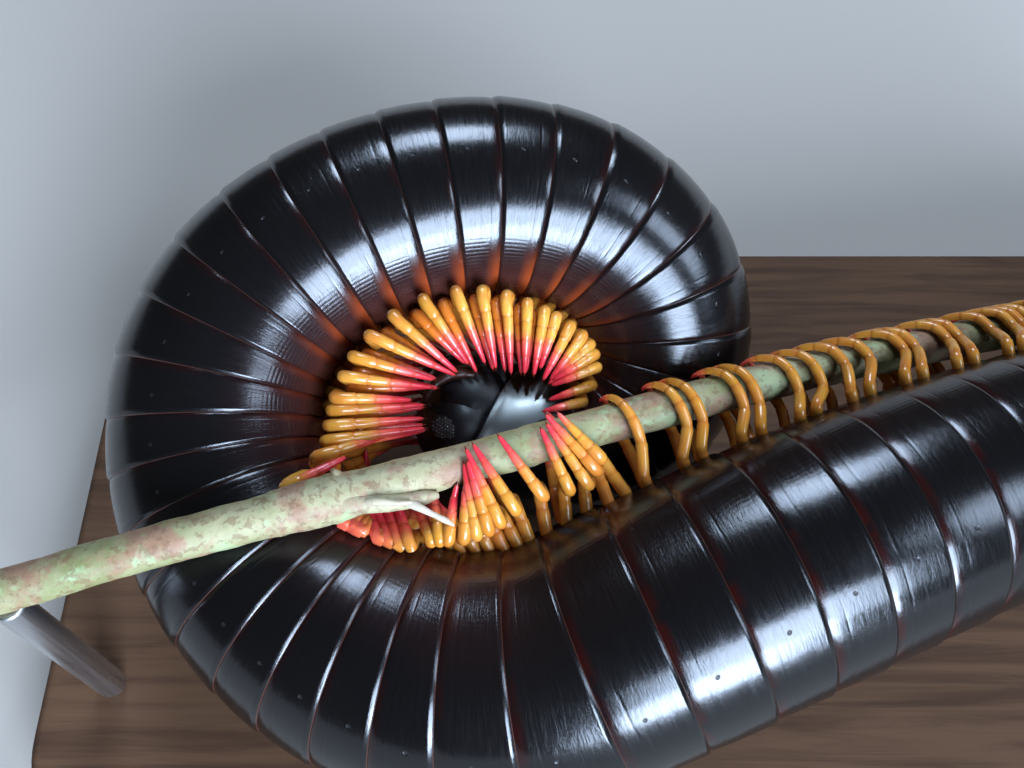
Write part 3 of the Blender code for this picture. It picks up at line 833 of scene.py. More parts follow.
CLAWS = [
    (11.0, (1.9, -1.9, 2.0)), (14.0, (2.3, -1.0, 2.1)), (17.0, (2.4, -0.1, 2.2)),
    (25.0, (2.2, 0.3, 2.5)), (31.0, (1.5, 0.6, 2.7)), (37.0, (0.4, 0.5, 2.8)),
    (42.0, (-1.2, 0.8, 2.8)), (47.0, (-2.8, 1.0, 2.9)), (52.0, (-3.9, 0.5, 3.0)),
    (57.0, (-4.9, -0.2, 3.1)), (62.0, (-5.9, -1.0, 3.2)), (66.0, (-5.4, -2.2, 3.2)),
    (69.5, (-5.0, -3.0, 3.3)), (71.0, (-5.1, -3.1, 3.5)), (72.5, (-9.3, -3.7, 5.0)),
    (74.5, (-10.0, -4.1, 7.5)), (76.5, (-11.6, -6.2, 4.2)), (80.0, (-10.6, -6.0, 4.0)),
    (83.0, (-9.9, -5.9, 4.0)), (86.0, (-8.2, -5.6, 4.0)), (88.2, (-6.9, -5.3, 4.2)),
    (90.8, (-2.9, -5.2, 8.7)), (92.2, (-2.9, -4.9, 9.0)), (93.8, (-2.8, -4.2, 9.2)),
    (95.4, (-2.7, -3.8, 9.2)), (97.0, (-2.5, -3.7, 9.2)), (98.6, (-1.1, -3.0, 9.0)),
    (100.4, (1.8, -2.3, 8.3)), (102.1, (2.3, -2.1, 8.0)), (103.8, (2.3, -1.5, 8.0)),
]
print("knees:", len(KNEES), "claws:", len(CLAWS))

# %% [markdown]
# A leg may touch the body and the twig but never run through them. A leg's point that lies too
# close to either axis is pushed straight away from it, a few times over, until both are clear.

# %% Keeping legs clear of body and twig
TWIG_RADIUS = 1.22
CLEARANCE, SKIM, OWN_REACH = 0.16, 0.06, 9.0
CLEARING_ROUNDS = 5


def pushed(point, gap, axis_point, least):
    """Point moved away from an axis where its gap is smaller than it has to be."""
    if gap < least:
        point = point + (point - axis_point).normalized() * (least - gap)
    return point


def keep_clear(point, radius, own):
    """Push a leg's point out of the body, and less far near its own root, and off the twig."""
    for _ in range(CLEARING_ROUNDS):
        gap, s, sample = nearest(BODY_TRACK, point)
        least = sample[3] / 2 + radius + (SKIM if abs(s - own) < OWN_REACH else CLEARANCE)
        point = pushed(point, gap, sample.to_3d(), least)
        gap, _, sample = nearest(TWIG_TRACK, point)
        point = pushed(point, gap, sample.to_3d(), TWIG_RADIUS + radius + SKIM)
    return point


print("clearance of legs %.2f mm" % CLEARANCE)

# %% [markdown]
# Further back the legs cross the twig and hook round it. A leg there is a row of points round
# the twig: turned by so many degrees, standing off its bark, and slipped towards the head. The
# slip grows from one column to the other where the body straightens.

# %% Legs that grip the twig
GRIP_FROM = 104.5
GRIP_LEAN = [(100.0, 2.2), (125.0, 1.8), (165.0, 1.3)]
GRIP_TURNS = ((46, 0.80, 0.62, -0.30), (78, 0.52, 0.70, -0.22), (112, 0.42, 0.80, -0.05),
              (146, 0.38, 0.94, 0.42), (180, 0.34, 1.10, 1.0), (204, 0.26, 1.20, 1.34))
GRIP_CHANGE = [(106.0, 0.0), (122.0, 1.0)]
NARROW_GAP, WIDE_GAP = 0.7, 2.2
GRIP_GIRTH, GRIP_WOBBLE = 0.33, 0.25


def twig_points_round(s, centre, out):
    """Points that wrap round the twig towards the head."""
    _, along, on_axis = nearest(TWIG_TRACK, centre)
    run = direction(TWIG_TRACK, along)
    back = on_axis.to_3d() - centre
    back = (back - run * back.dot(run)).normalized()
    change = number_at(GRIP_CHANGE, s)
    beside = (out - run * out.dot(run) - back * out.dot(back)).normalized()
    points = []
    for turn, stand_off, front_slip, back_slip in GRIP_TURNS:
        slip = front_slip + (back_slip - front_slip) * change
        at = on_track(TWIG_TRACK, along - number_at(GRIP_LEAN, s) * slip).to_3d()
        spoke = beside * math.sin(math.radians(turn)) - back * math.cos(math.radians(turn))
        points.append(at + spoke * (TWIG_RADIUS + stand_off))
    return points


def gripping_leg(s, centre, root, spoke, out, near, tight, wobble):
    """Leg that rises beside the twig, bends, and wraps round it; far legs reach less far."""
    reach = twig_points_round(s, centre, out)
    if not near:
        reach = reach[:-1]
    elif tight < 0.5:
        reach = [root + spoke * 0.9 + out * 0.9, *reach]
    else:
        reach = [root + spoke * 0.7 + out * 0.3, *reach[1:]]
    return [root, *(keep_clear(p + wobble * GRIP_WOBBLE, GRIP_GIRTH, s) for p in reach)]


print("points round the twig:", len(GRIP_TURNS))

# %% [markdown]
# A leg of the coil's near side goes by the tables of knees and claws, and its back row lies a
# little deeper. One of the far side hangs down behind. Each leg sways by its own small amount,
# and more so at the left of the coil, where the photo shows them in disorder.

# %% Legs of the coil
DEEP_ROW_TO = 76.0
COIL_GIRTH, CLAW_GIRTH = 0.36, 0.12
ROOT_SHARE = 0.90
SPLAY, TIGHT_SPLAY = 4.0, 20.0
SWAY, WILD_SWAY, WILD_PART = 0.30, 0.55, (58.0, 72.0)
NOD = 0.28


def near_coil_leg(s, belly, row, wobble, jitter):
    """Rise to the knee, the knee, and an arched reach to the claw; offsets in millimetres."""
    deep = row * min(1.0, max(0.0, (DEEP_ROW_TO - s) / 2.0))
    knee = point_at(KNEES, s) - VIEW * deep * 1.2 + belly * deep * 0.55
    claw = point_at(CLAWS, s) - VIEW * deep * 0.5 + wobble
    claw = knee.lerp(claw, jitter.uniform(0.90, 1.06))
    start = knee - VIEW * 1.25 + belly * 0.50
    under_knee = knee - VIEW * 0.55 - belly * 0.04
    arch = VIEW * (0.45 if s < DEEP_ROW_TO else 0.15)
    knee = knee + wobble * 0.4
    return [start, under_knee, knee, knee.lerp(claw, 0.30) + arch,
            knee.lerp(claw, 0.66) + arch * 0.8, claw]


def far_coil_leg(s, root, out, belly, row, wobble):
    """Knee close to the root, and a long reach down behind the coil's middle."""
    knee = root + out * 1.1 + belly * (0.5, 1.0)[row]
    claw = point_at(CLAWS, s) - VIEW * (8.0 if s < 88 else 5.0) + wobble
    return [knee, knee.lerp(claw, 0.45) + out * 0.9, claw]


def leg_path(s, near, row, jitter):
    """Points of a leg from its root in the body to the claw, and the number of its knee."""
    centre, radius, rear, belly, side = body_frame(s)
    out = side if near else -side
    gap = nearest(TWIG_TRACK, centre)[0] - radius - TWIG_RADIUS
    tight = min(1.0, max(0.0, (WIDE_GAP - gap) / (WIDE_GAP - NARROW_GAP))) * (s > GRIP_FROM)
    splay = math.radians(SPLAY + TIGHT_SPLAY * tight)
    spoke = belly * math.cos(splay) + out * math.sin(splay)
    root = centre + spoke * (radius * ROOT_SHARE)
    sway = WILD_SWAY if WILD_PART[0] < s < WILD_PART[1] else SWAY
    wobble = rear * jitter.uniform(-sway, sway) + VIEW * jitter.uniform(-NOD, NOD)
    if s > GRIP_FROM:
        return gripping_leg(s, centre, root, spoke, out, near, tight, wobble), 2 if near else 1
    if near:
        reach = near_coil_leg(s, belly, row, wobble, jitter)
    else:
        reach = far_coil_leg(s, root, out, belly, row, wobble)
    girths = [COIL_GIRTH] * (len(reach) - 1) + [CLAW_GIRTH]
    path = [root, *(keep_clear(p, girth, s) for p, girth in zip(reach, girths))]
    return path, 3 if near else 1


print("points of a coil leg:", len(leg_path(40.0, True, 0, random.Random(1))[0]))

# %% [markdown]
# Along each path the leg's girth changes: every podomere widens a little towards its far end
# and is tied in at the joint. So a leg is a row of stations with a girth each, and the tree
# only has to sweep a circle along it. The stations also carry how far along the leg they are,
# which colours them, and how close the next joint is, which darkens the joints.

# %% Stations of a jointed limb
KNEE_SHARE = 0.25
LEG_CUTS = (0.0, 0.10, 0.23, 0.45, 0.62, 0.79, 0.96, 1.0)
LEG_GIRTH = [(0.0, 0.38), (0.16, 0.37), (0.28, 0.365), (0.45, 0.335), (0.60, 0.285),
             (0.76, 0.225), (0.90, 0.150), (0.955, 0.105), (0.97, 0.055), (1.0, 0.010)]
JOINT_SHAPE = ((0.025, 0.925, 1.0), (0.08, 0.965, 0.45), (0.22, 0.985, 0.0), (0.55, 1.0, 0.0),
               (0.80, 1.02, 0.0), (0.93, 1.035, 0.35), (0.98, 0.950, 1.0))


def jointed_columns(limbs, cuts, girths):
    """Points, edges and attribute columns for the paths of several jointed limbs."""
    keys = ("girth", "leg_share", "joint", "leg", "leg_shade", "amber_to")
    points, edges, rows = [], [], {key: [] for key in keys}
    for number, (path, knee), leg_shade, amber_to, stout in limbs:
        track = make_track([(*p, 0.0) for p in path])
        lengths = [(0.0, 0.0), (KNEE_SHARE, track[0][knee * TRACK_CUTS]), (1.0, track[0][-1])]
        start = len(points)
        for low, high in zip(cuts, cuts[1:]):
            for within, swell, joint in JOINT_SHAPE:
                share_here = low + (high - low) * within
                girth = number_at(girths, share_here) * swell * stout
                points.append(on_track(track, number_at(lengths, share_here)).to_3d())
                for key, value in zip(keys, (girth, share_here, joint, number, leg_shade, amber_to)):
                    rows[key].append(value)
        edges += [(k, k + 1) for k in range(start, len(points) - 1)]
    return points, edges, rows


print("stations of a leg:", (len(LEG_CUTS) - 1) * len(JOINT_SHAPE))

# %% [markdown]
# A loop over the rings lists their legs. The first rings carry one pair each, the last two
# none. Along the straight part some legs of the far row cross over to the near side of the
# twig, where the photo shows two for most rings. Each leg has its own seed for its sway.

# %% Legs of one length of the body
LEG_ROWS = [(0.0, (0.36, 0.80)), (90.0, (0.44, 0.76)), (200.0, (0.46, 0.76))]
SINGLE_LEG_RINGS, SINGLE_LEG_SHARES = 8, (0.58,)
LEGLESS_RINGS = 2
CROSSING_RINGS = (28, 29, 30, 31, *range(39, 48))
CROSSING_STEP = [(110.0, 0.33), (125.0, 0.26)]
AMBER_TO = [(0.0, 0.56), (74.0, 0.56), (76.0, 0.16), (83.0, 0.20), (88.5, 0.36), (90.0, 0.56),
            (100.0, 0.60), (104.6, 0.78), (200.0, 0.84)]
# How much painted shade the far legs get, where the coil's back row gets one.
FAR_LEG_SHADE = 0.4
COIL_STOUT, TWIG_STOUT = 1.08, 1.0
FIRST_SEED = 11


def legs_between(first, last):
    """Number, path, painted shade, colour change and girth of each leg of one length of the body."""
    legs = []
    for ring in range(first, min(last, TRUNK_RINGS - LEGLESS_RINGS)):
        pitch = EDGES[ring + 1] - EDGES[ring]
        shares = next(rows for s, rows in reversed(LEG_ROWS) if EDGES[ring] >= s)
        if ring < SINGLE_LEG_RINGS:
            shares = SINGLE_LEG_SHARES
        for row, share_here in enumerate(shares):
            s = EDGES[ring] + share_here * pitch
            for near in (True, False):
                number = ring * 4.0 + row * 2.0 + near
                jitter = random.Random(int(number) + FIRST_SEED)
                # The coil's back row and the far legs get painted shade.
                leg_shade = float(row) if near and s < DEEP_ROW_TO else FAR_LEG_SHADE * (not near)
                crossing = row == 1 and not near and ring in CROSSING_RINGS
                at = s + pitch * number_at(CROSSING_STEP, s) * crossing
                path = leg_path(at, near or crossing, row, jitter)
                stout = TWIG_STOUT if s > GRIP_FROM else COIL_STOUT
                legs.append((number, path, leg_shade, number_at(AMBER_TO, s), stout))
    return legs


print("legs on the first length:", len(legs_between(*LENGTHS[0][1:])))

# %% [markdown]
# The tree sweeps a circle along each leg, scaled by the girth. Random Value, seeded once, gives
# each leg its own tone between two ambers, so the rows don't look stamped.

# %% Tree that builds the legs
leg_tree, leg_in, leg_out = new_tree("millipede legs", [
    ("Sides", "Int", 14), ("Seed", "Int", 7), ("Material", "Material", None)])
leg_tubes = sweep(leg_tree, leg_in["Geometry"], leg_in["Sides"], "girth")
leg_tone = node(leg_tree, "FunctionNodeRandomValue",
                {"ID": named(leg_tree, "leg"), "Seed": leg_in["Seed"]}, data_type="FLOAT")
leg_tubes = store(leg_tree, leg_tubes, "tone", leg_tone.outputs[1])
finish_tree(leg_tree, leg_tubes, leg_in["Material"], leg_out)
print("leg tree:", len(leg_tree.nodes), "nodes")

# %% [markdown]
# The legs are what names the animal. They are a waxy amber, a little translucent, with thin
# darker joints, and turn coral and then ruby over their last part. The row that lies further
# back, and the legs of the far side, are painted a deeper orange as painted shade.

# %% Leg material
leg_skin, tree, shader = new_material("leg_amber")
leg_share = attribute(tree, "leg_share")
amber = blend(tree, attribute(tree, "tone"), rgb(0.52, 0.228, 0.026), rgb(0.62, 0.300, 0.050))
blotches = noise(tree, object_place(tree), 900.0, 2.0, 0.5)
amber = blend(tree, between(tree, blotches, 0.35, 0.70), amber, rgb(0.54, 0.205, 0.031))
# Painted shade: the back row and the far legs turn a deeper orange.
amber = blend(tree, times(tree, attribute(tree, "leg_shade"), 0.65), amber,
              rgb(0.58, 0.13, 0.012))
past = calc(tree, "SUBTRACT", leg_share, attribute(tree, "amber_to"))
colour = blend(tree, between(tree, past, -0.04, 0.12), amber, rgb(0.74, 0.10, 0.070))
colour = blend(tree, between(tree, past, 0.10, 0.26), colour, rgb(0.62, 0.030, 0.050))
colour = blend(tree, times(tree, attribute(tree, "joint"), 0.34), colour,
               rgb(0.42, 0.075, 0.010))
colour = blend(tree, between(tree, leg_share, 0.955, 0.975), colour, rgb(0.09, 0.010, 0.006))
feed(tree, shader, {
    "Base Color": colour, "Roughness": 0.26, "Subsurface Weight": 0.25,
    "Subsurface Radius": (1.0, 0.30, 0.10), "Subsurface Scale": 0.0005,
    "Coat Weight": 0.25, "Coat Roughness": 0.10})
bump(tree, shader, noise(tree, object_place(tree), 2600.0, 2.0, 0.5), 0.12, 0.00003)
print("leg material:", len(tree.nodes), "nodes")

# %% Build the legs of each length
for length, first, last in LENGTHS:
    points, edges, rows = jointed_columns(legs_between(first, last), LEG_CUTS, LEG_GIRTH)
    legs = path_mesh("legs_" + length, points, edges, **rows)
    bake(legs, leg_tree, Material=leg_skin)
    keep(legs, "trunk_" + length)

# %% [markdown]
# ## Head
# The pieces of the head are sculpted: each starts as a fine sphere, and a rule written for its
# points moves them. That suits an animal's head better than a cage of few points, because each
# form, such as a groove or a brow, is one smooth hill that can be moved or made wider.

# %% Helpers for sculpted pieces
FINE = 5


def hill(value, middle, width):
    """Smooth bump of height one at a value."""
    return math.exp(-((value - middle) / width) ** 2)


def arrow(axes, steps):
    """Vector of so many millimetres along each of three axes."""
    return sum((axis * step for axis, step in zip(axes, steps)), Vector())


def sculpt(name, centre, axes, size, material, rule=None, level=4):
    """Ellipsoid of fine triangles, its points moved by a rule on the unit sphere."""
    bm = bmesh.new()
    bmesh.ops.create_icosphere(bm, subdivisions=level, radius=1.0)
    for vert in bm.verts:
        shaped = rule(vert.co.copy()) if rule else vert.co
        vert.co = (centre + arrow(axes, [shaped[i] * size[i] for i in range(3)])) * MM
    bmesh.ops.recalc_face_normals(bm, faces=bm.faces)
    ob = from_bmesh(name, bm, material)
    smooth(ob)
    return ob


def join(name, parts):
    """One object from several, with their materials kept."""
    bm = bmesh.new()
    materials = []
    for part in parts:
        start = len(bm.faces)
        bm.from_mesh(part.data)
        bm.faces.ensure_lookup_table()
        for face in bm.faces[start:]:
            face.material_index += len(materials)
        materials += list(part.data.materials)
        bpy.data.objects.remove(part, do_unlink=True)
    return from_bmesh(name, bm, *materials)


def both_sides(rear, belly, side):
    """Word and axes of each piece of a pair; the third axis points outwards."""
    return ("left", (rear, belly, side)), ("right", (rear, belly, -side))


print("helpers for sculpted pieces ready")

# %% [markdown]
# Head and collar are the same black cuticle without rings: a little cloudy, with fine pits. The
# head is duller, so that only the collar catches a sheen.

# %% Head and collar materials


def hard_black(name, roughness, specular):
    """Black cuticle of a head piece, with its gloss."""
    material, tree, shader = new_material(name)
    clouds = noise(tree, object_place(tree), 420.0, 4.0, 0.55)
    pits = noise(tree, object_place(tree), 4200.0, 2.0, 0.6)
    feed(tree, shader, {
        "Base Color": blend(tree, clouds, rgb(0.002, 0.002, 0.003), rgb(0.007, 0.006, 0.007)),
        "Roughness": between(tree, clouds, 0.3, 0.7, roughness, roughness + 0.10),
        "Specular IOR Level": specular})
    bump(tree, shader, pits, 0.12, 0.00004)
    bump(tree, shader, clouds, 0.05, 0.00020)
    return material


head_skin = hard_black("head_black", 0.38, 0.30)
collar_skin = hard_black("collar_black", 0.32, 0.80)
print("head and collar materials ready")

# %% [markdown]
# The head is a rounded capsule that bends down over the mouth. Its rule gives it a crown, a
# flatter face that narrows to the upper lip, a shallow groove down the middle, and a notch in
# the lip.

# %% Head capsule
HEAD_AT = 2.6
HEAD_SIZE = (2.9, 3.9, 4.0)

head_centre, _, *HEAD_AXES = body_frame(HEAD_AT)


def head_rule(unit):
    """Rear, belly and side of a point of the capsule, from the unit sphere."""
    rear, belly, side = unit
    face = max(0.0, -rear)
    low = max(0.0, belly)
    narrow = 1.0 - 0.30 * low * low
    groove = 0.035 * hill(side, 0.0, 0.05) * face
    lip_notch = 0.10 * hill(side, 0.0, 0.12) * hill(belly, 0.92, 0.18) * face
    cheek = 0.05 * hill(abs(side), 0.80, 0.2) * hill(belly, 0.1, 0.4)
    brow = 0.05 * hill(belly, 0.35, 0.22) * face
    return (rear * (1.0 - groove - lip_notch + brow - 0.10 * low * face),
            belly * (1.0 - lip_notch * 0.5),
            side * narrow * (1.0 + cheek))


capsule = sculpt("head_capsule", head_centre, HEAD_AXES, HEAD_SIZE, head_skin, head_rule, FINE)
keep(capsule, "head")

# %% [markdown]
# Under the capsule lie the mandibles, one on each cheek, and the plate that closes the mouth
# from below. Each has a shallow furrow across it, where two plates have grown together.

# %% Mandibles and lower plate
MANDIBLE_AT, MANDIBLE_SIZE = (-0.1, 1.6, 2.1), (2.7, 2.3, 1.75)
CHIN_AT, CHIN_SIZE = (0.5, 2.9, 0.0), (2.4, 2.2, 2.4)


def plate_rule(unit):
    """Slightly hollow ellipsoid with a furrow across it."""
    rear, belly, side = unit
    furrow = 0.10 * hill(rear, 0.15, 0.07)
    return (rear, belly * (1.0 - 0.12 * rear * rear), side * (1.0 - furrow))


for which, axes in both_sides(*HEAD_AXES):
    mandible = sculpt("mandible_" + which, head_centre + arrow(axes, MANDIBLE_AT), axes,
                      MANDIBLE_SIZE, head_skin, plate_rule)
    keep(mandible, "head")

chin = sculpt("chin_plate", head_centre + arrow(HEAD_AXES, CHIN_AT), HEAD_AXES, CHIN_SIZE,
              head_skin, plate_rule)
keep(chin, "head")

# %% [markdown]
# Each eye is a patch of close to fifty small lenses on a low mound. A tree sets small domes on
# points that lie in rows on the mound.

# %% Eye lenses
eye_gloss, tree, shader = new_material("eye_gloss")
tint = noise(tree, object_place(tree), 3000.0, 1.0)
feed(tree, shader, {
    "Base Color": blend(tree, tint, rgb(0.006, 0.006, 0.008), rgb(0.022, 0.018, 0.016)),
    "Roughness": 0.16, "Coat Weight": 0.15})

lens_tree, lens_in, lens_out = new_tree("eye lenses", [
    ("Lens radius", "Float", 0.00014), ("Material", "Material", None)])
dome = node(lens_tree, "GeometryNodeMeshIcoSphere",
            {"Radius": lens_in["Lens radius"], "Subdivisions": 3}).outputs[0]
lenses = node(lens_tree, "GeometryNodeInstanceOnPoints",
              {"Points": lens_in["Geometry"], "Instance": dome})
finish_tree(lens_tree, lenses.outputs[0], lens_in["Material"], lens_out)
print("lens tree:", len(lens_tree.nodes), "nodes")

# %% Build the eyes
EYE_AT, EYE_SIZE = (-1.2, -0.9, 3.42), (1.0, 0.8, 0.62)
LENS_STEP, LENS_ROW_STEP = 0.21, 0.20
PATCH_LENGTH, PATCH_HEIGHT = 0.92, 0.72
PATCH_BORDER, LENS_SINK = 0.04, 0.95


def lens_spots(centre, axes):
    """Points on the mound, in rows that are shifted by half a step from one to the next."""
    spots = []
    for row in range(-3, 4):
        for column in range(-4, 5):
            x = LENS_STEP * (column + 0.5 * (row % 2))
            y = LENS_ROW_STEP * row
            inside = 1.0 - (x / PATCH_LENGTH) ** 2 - (y / PATCH_HEIGHT) ** 2
            if inside > PATCH_BORDER:
                out = EYE_SIZE[2] * math.sqrt(inside) * LENS_SINK
                spots.append(centre + arrow(axes, (x, y, out)))
    return spots


for which, axes in both_sides(*HEAD_AXES):
    eye_centre = head_centre + arrow(axes, EYE_AT)
    mound = sculpt("mound", eye_centre, axes, EYE_SIZE, head_skin)
    facets = path_mesh("facets", lens_spots(eye_centre, axes), [])
    bake(facets, lens_tree, Material=eye_gloss)
    keep(join("eye_patch_" + which, [mound, facets]), "eye_" + which)

# %% [markdown]
# The antennae use the same links as the legs, seven of them, growing thicker to the sixth. They
# are folded down beside the mouth, as a millipede at rest holds them. Their path is a chain of
# steps: so much to the rear, so much towards the belly, so much outwards.

# %% Antennae
ANTENNA_ROOT = (-2.2, -0.2, 1.9)
ANTENNA_STEPS = ((-0.7, 0.0, 0.7), (-0.3, 0.7, 0.5), (0.3, 1.2, 0.1), (0.9, 1.0, 0.0),
                 (0.9, 0.4, 0.0))
ANTENNA_CUTS = (0.0, 0.10, 0.26, 0.42, 0.57, 0.72, 0.90, 1.0)
ANTENNA_GIRTH = [(0.0, 0.26), (0.2, 0.23), (0.4, 0.26), (0.6, 0.30), (0.85, 0.36), (1.0, 0.22)]

antenna_skin, tree, shader = new_material("antenna_amber")
feed(tree, shader, {
    "Base Color": blend(tree, attribute(tree, "leg_share"), rgb(0.008, 0.005, 0.005),
                        rgb(0.045, 0.013, 0.008)),
    "Roughness": 0.34, "Subsurface Weight": 0.10, "Subsurface Scale": 0.0004})
bump(tree, shader, noise(tree, object_place(tree), 3000.0, 2.0), 0.15, 0.00003)

for which, axes in both_sides(*HEAD_AXES):
    path = [head_centre + arrow(axes, ANTENNA_ROOT)]
    for steps in ANTENNA_STEPS:
        path.append(path[-1] + arrow(axes, steps))
    limb = (1.0, (path, 1), 0.0, 0.5, 1.0)
    points, edges, rows = jointed_columns([limb], ANTENNA_CUTS, ANTENNA_GIRTH)
    feeler = path_mesh("feeler_" + which, points, edges, **rows)
    bake(feeler, leg_tree, Material=antenna_skin)
    keep(feeler, "antenna_" + which)

# %% [markdown]
# ## Collum
# The shield behind the head covers the neck like a collar. Its lower corners narrow to rounded
# lobes that bulge a little, and a fine raised rim runs along its front edge. It is a grid of
# points round the body, so the same frame that carries the rings carries it too.

# %% Grid of the collar
COLLUM_FROM, COLLUM_TO = 3.5, 10.1
COLLUM_HALF = math.radians(166.0)
LOBE_FROM, LOBE_WIDTH, LOBE_NARROWING = math.radians(95.0), math.radians(71.0), 1.2
BULGE_HEIGHT, BULGE_AT, BULGE_WIDTH = 0.22, math.radians(152.0), math.radians(30.0)
RIM_HEIGHT, RIM_AT, RIM_WIDTH = 0.012, 0.03, 0.03


def collum_grid(around_steps, along_steps):
    """Rows of points over the outside of the collar, from one lobe over the back to the other."""
    rows = []
    for i in range(around_steps + 1):
        angle = COLLUM_HALF * (2.0 * i / around_steps - 1.0)
        lobe = min(1.0, max(0.0, (abs(angle) - LOBE_FROM) / LOBE_WIDTH))
        front = COLLUM_FROM + LOBE_NARROWING * lobe ** 3
        rear_edge = COLLUM_TO - LOBE_NARROWING * lobe ** 3
        row = []
        for j in range(along_steps + 1):
            t = j / along_steps
            centre, radius, _, belly, side = body_frame(front + (rear_edge - front) * t)
            dome = 0.955 + 0.035 * math.sin(math.pi * min(1.0, 0.30 + t * 0.60))
            rim = RIM_HEIGHT * hill(t, RIM_AT, RIM_WIDTH)
            bulge = BULGE_HEIGHT * hill(abs(angle), BULGE_AT, BULGE_WIDTH)
            bulge *= 0.3 + 0.7 * math.sin(math.pi * t)
            spoke = side * math.sin(angle) - belly * math.cos(angle)
            row.append((centre, spoke, radius * (dome + rim + bulge)))
        rows.append(row)
    return rows


collar_rows = collum_grid(120, 32)
print("collar grid:", len(collar_rows), "x", len(collar_rows[0]))

# %% [markdown]
# The collar is a thick plate: an outer and an inner skin over the same grid, joined at the rim.
# A dark core behind it fills the neck, so that nothing shows through the gap under the lobes.

# %% Collar and neck
COLLUM_WALL = 0.40
NECK_AT, NECK_SIZE = 7.6, (3.3, 4.6, 4.5)


def plate_mesh(name, rows, wall, material):
    """Closed plate over a grid of centre, spoke and reach, with a wall of one thickness."""
    bm = bmesh.new()
    outer = [[bm.verts.new((c + sp * r) * MM) for c, sp, r in row] for row in rows]
    inner = [[bm.verts.new((c + sp * (r - wall)) * MM) for c, sp, r in row] for row in rows]
    wide, deep = len(rows), len(rows[0])
    for i in range(wide - 1):
        for j in range(deep - 1):
            bm.faces.new((outer[i][j], outer[i + 1][j], outer[i + 1][j + 1], outer[i][j + 1]))
            bm.faces.new((inner[i][j], inner[i][j + 1], inner[i + 1][j + 1], inner[i + 1][j]))
    rim = [(i, 0) for i in range(wide)]
    rim += [(wide - 1, j) for j in range(1, deep)]
    rim += [(i, deep - 1) for i in range(wide - 2, -1, -1)]
    rim += [(0, j) for j in range(deep - 2, 0, -1)]
    for (a, b), (c, d) in zip(rim, rim[1:] + rim[:1]):
        bm.faces.new((outer[a][b], inner[a][b], inner[c][d], outer[c][d]))
    bmesh.ops.recalc_face_normals(bm, faces=bm.faces)
    ob = from_bmesh(name, bm, material)
    smooth(ob, 50.0)
    return ob


collar = plate_mesh("collar_shield", collar_rows, COLLUM_WALL, collar_skin)
keep(collar, "collum")

neck_centre, _, *neck_axes = body_frame(NECK_AT)
neck_core = sculpt("neck_core", neck_centre, neck_axes, NECK_SIZE, head_skin)
keep(neck_core, "collum")

# %% [markdown]
# ## Tail
# The last ring carries a short blunt point on the back, and two rounded valves that close it.

# %% Tail end
TAIL_SHIFT, TAIL_LENGTH, TAIL_SHARE = 0.2, 4.0, 0.955
VALVE_AT, VALVE_SIZE = (3.1, 0.9, 1.55), (2.5, 3.3, 1.62)

tail_centre, tail_radius, *TAIL_AXES = body_frame(EDGES[-1])


def last_ring_rule(unit):
    """Half capsule: round at the rear and drawn out to a blunt point on the back."""
    rear, belly, side = unit
    back = max(0.0, -belly)
    point = 0.62 * hill(side, 0.0, 0.24) * hill(back, 0.62, 0.26) * max(0.0, rear)
    return (rear + point, belly, side)


def valve_rule(unit):
    """Valve with a raised lip along its inner edge."""
    rear, belly, side = unit
    lip = 0.10 * hill(side, -0.80, 0.16)
    return (rear * (1.0 + lip), belly * (1.0 + lip * 0.4), side)


last_ring = sculpt("last_ring", tail_centre + arrow(TAIL_AXES, (TAIL_SHIFT, 0.0, 0.0)), TAIL_AXES,
                   (TAIL_LENGTH, tail_radius * TAIL_SHARE, tail_radius * TAIL_SHARE),
                   collar_skin, last_ring_rule, FINE)
keep(last_ring, "telson")

for which, axes in both_sides(*TAIL_AXES):
    valve = sculpt("tail_valve_" + which, tail_centre + arrow(axes, VALVE_AT), axes,
                   VALVE_SIZE, collar_skin, valve_rule)
    keep(valve, "anal_valve_" + which)

# %% [markdown]
# ## Twig
# The perch is a green twig with pale, mottled bark. The bark's colour is laid on in coats, each
# a noise of its own scale: fibres along the twig, brown mottling, green lichen, dark specks.

# %% Bark material
bark, tree, shader = new_material("twig_bark")
spot = object_place(tree)
lengthwise = vector(tree, times(tree, attribute(tree, "along"), 0.8),
                    times(tree, attribute(tree, "around"), 5.0))
broad = noise(tree, spot, 150.0, 4.0, 0.55)
mottle = noise(tree, spot, 330.0, 5.0, 0.62, 0.4)
lichen = noise(tree, spot, 420.0, 3.0, 0.5, 0.3)
fibres = noise(tree, lengthwise, 1.6, 4.0, 0.6)
speck = noise(tree, spot, 1900.0, 3.0, 0.6)
colour = blend(tree, between(tree, broad, 0.36, 0.64), rgb(0.168, 0.182, 0.072),
               rgb(0.32, 0.300, 0.175))
for coat, low, high, strength, coat_colour in (
        (fibres, 0.45, 0.70, 0.50, rgb(0.245, 0.26, 0.14)),
        (mottle, 0.47, 0.62, 0.80, rgb(0.25, 0.125, 0.085)),
        (lichen, 0.60, 0.68, 0.55, rgb(0.28, 0.40, 0.22)),
        (speck, 0.52, 0.62, 0.55, rgb(0.14, 0.080, 0.040))):
    colour = blend(tree, times(tree, between(tree, coat, low, high), strength), colour, coat_colour)
white_wood = blend(tree, fibres, rgb(0.42, 0.35, 0.26), rgb(0.58, 0.54, 0.45))
colour = blend(tree, attribute(tree, "pale"), colour, white_wood)
feed(tree, shader, {"Base Color": colour, "Roughness": 0.55, "Specular IOR Level": 0.35})
bump(tree, shader, mottle, 0.35, 0.00015)
bump(tree, shader, fibres, 0.30, 0.00008)
bump(tree, shader, speck, 0.55, 0.00009)
print("bark:", len(tree.nodes), "nodes")

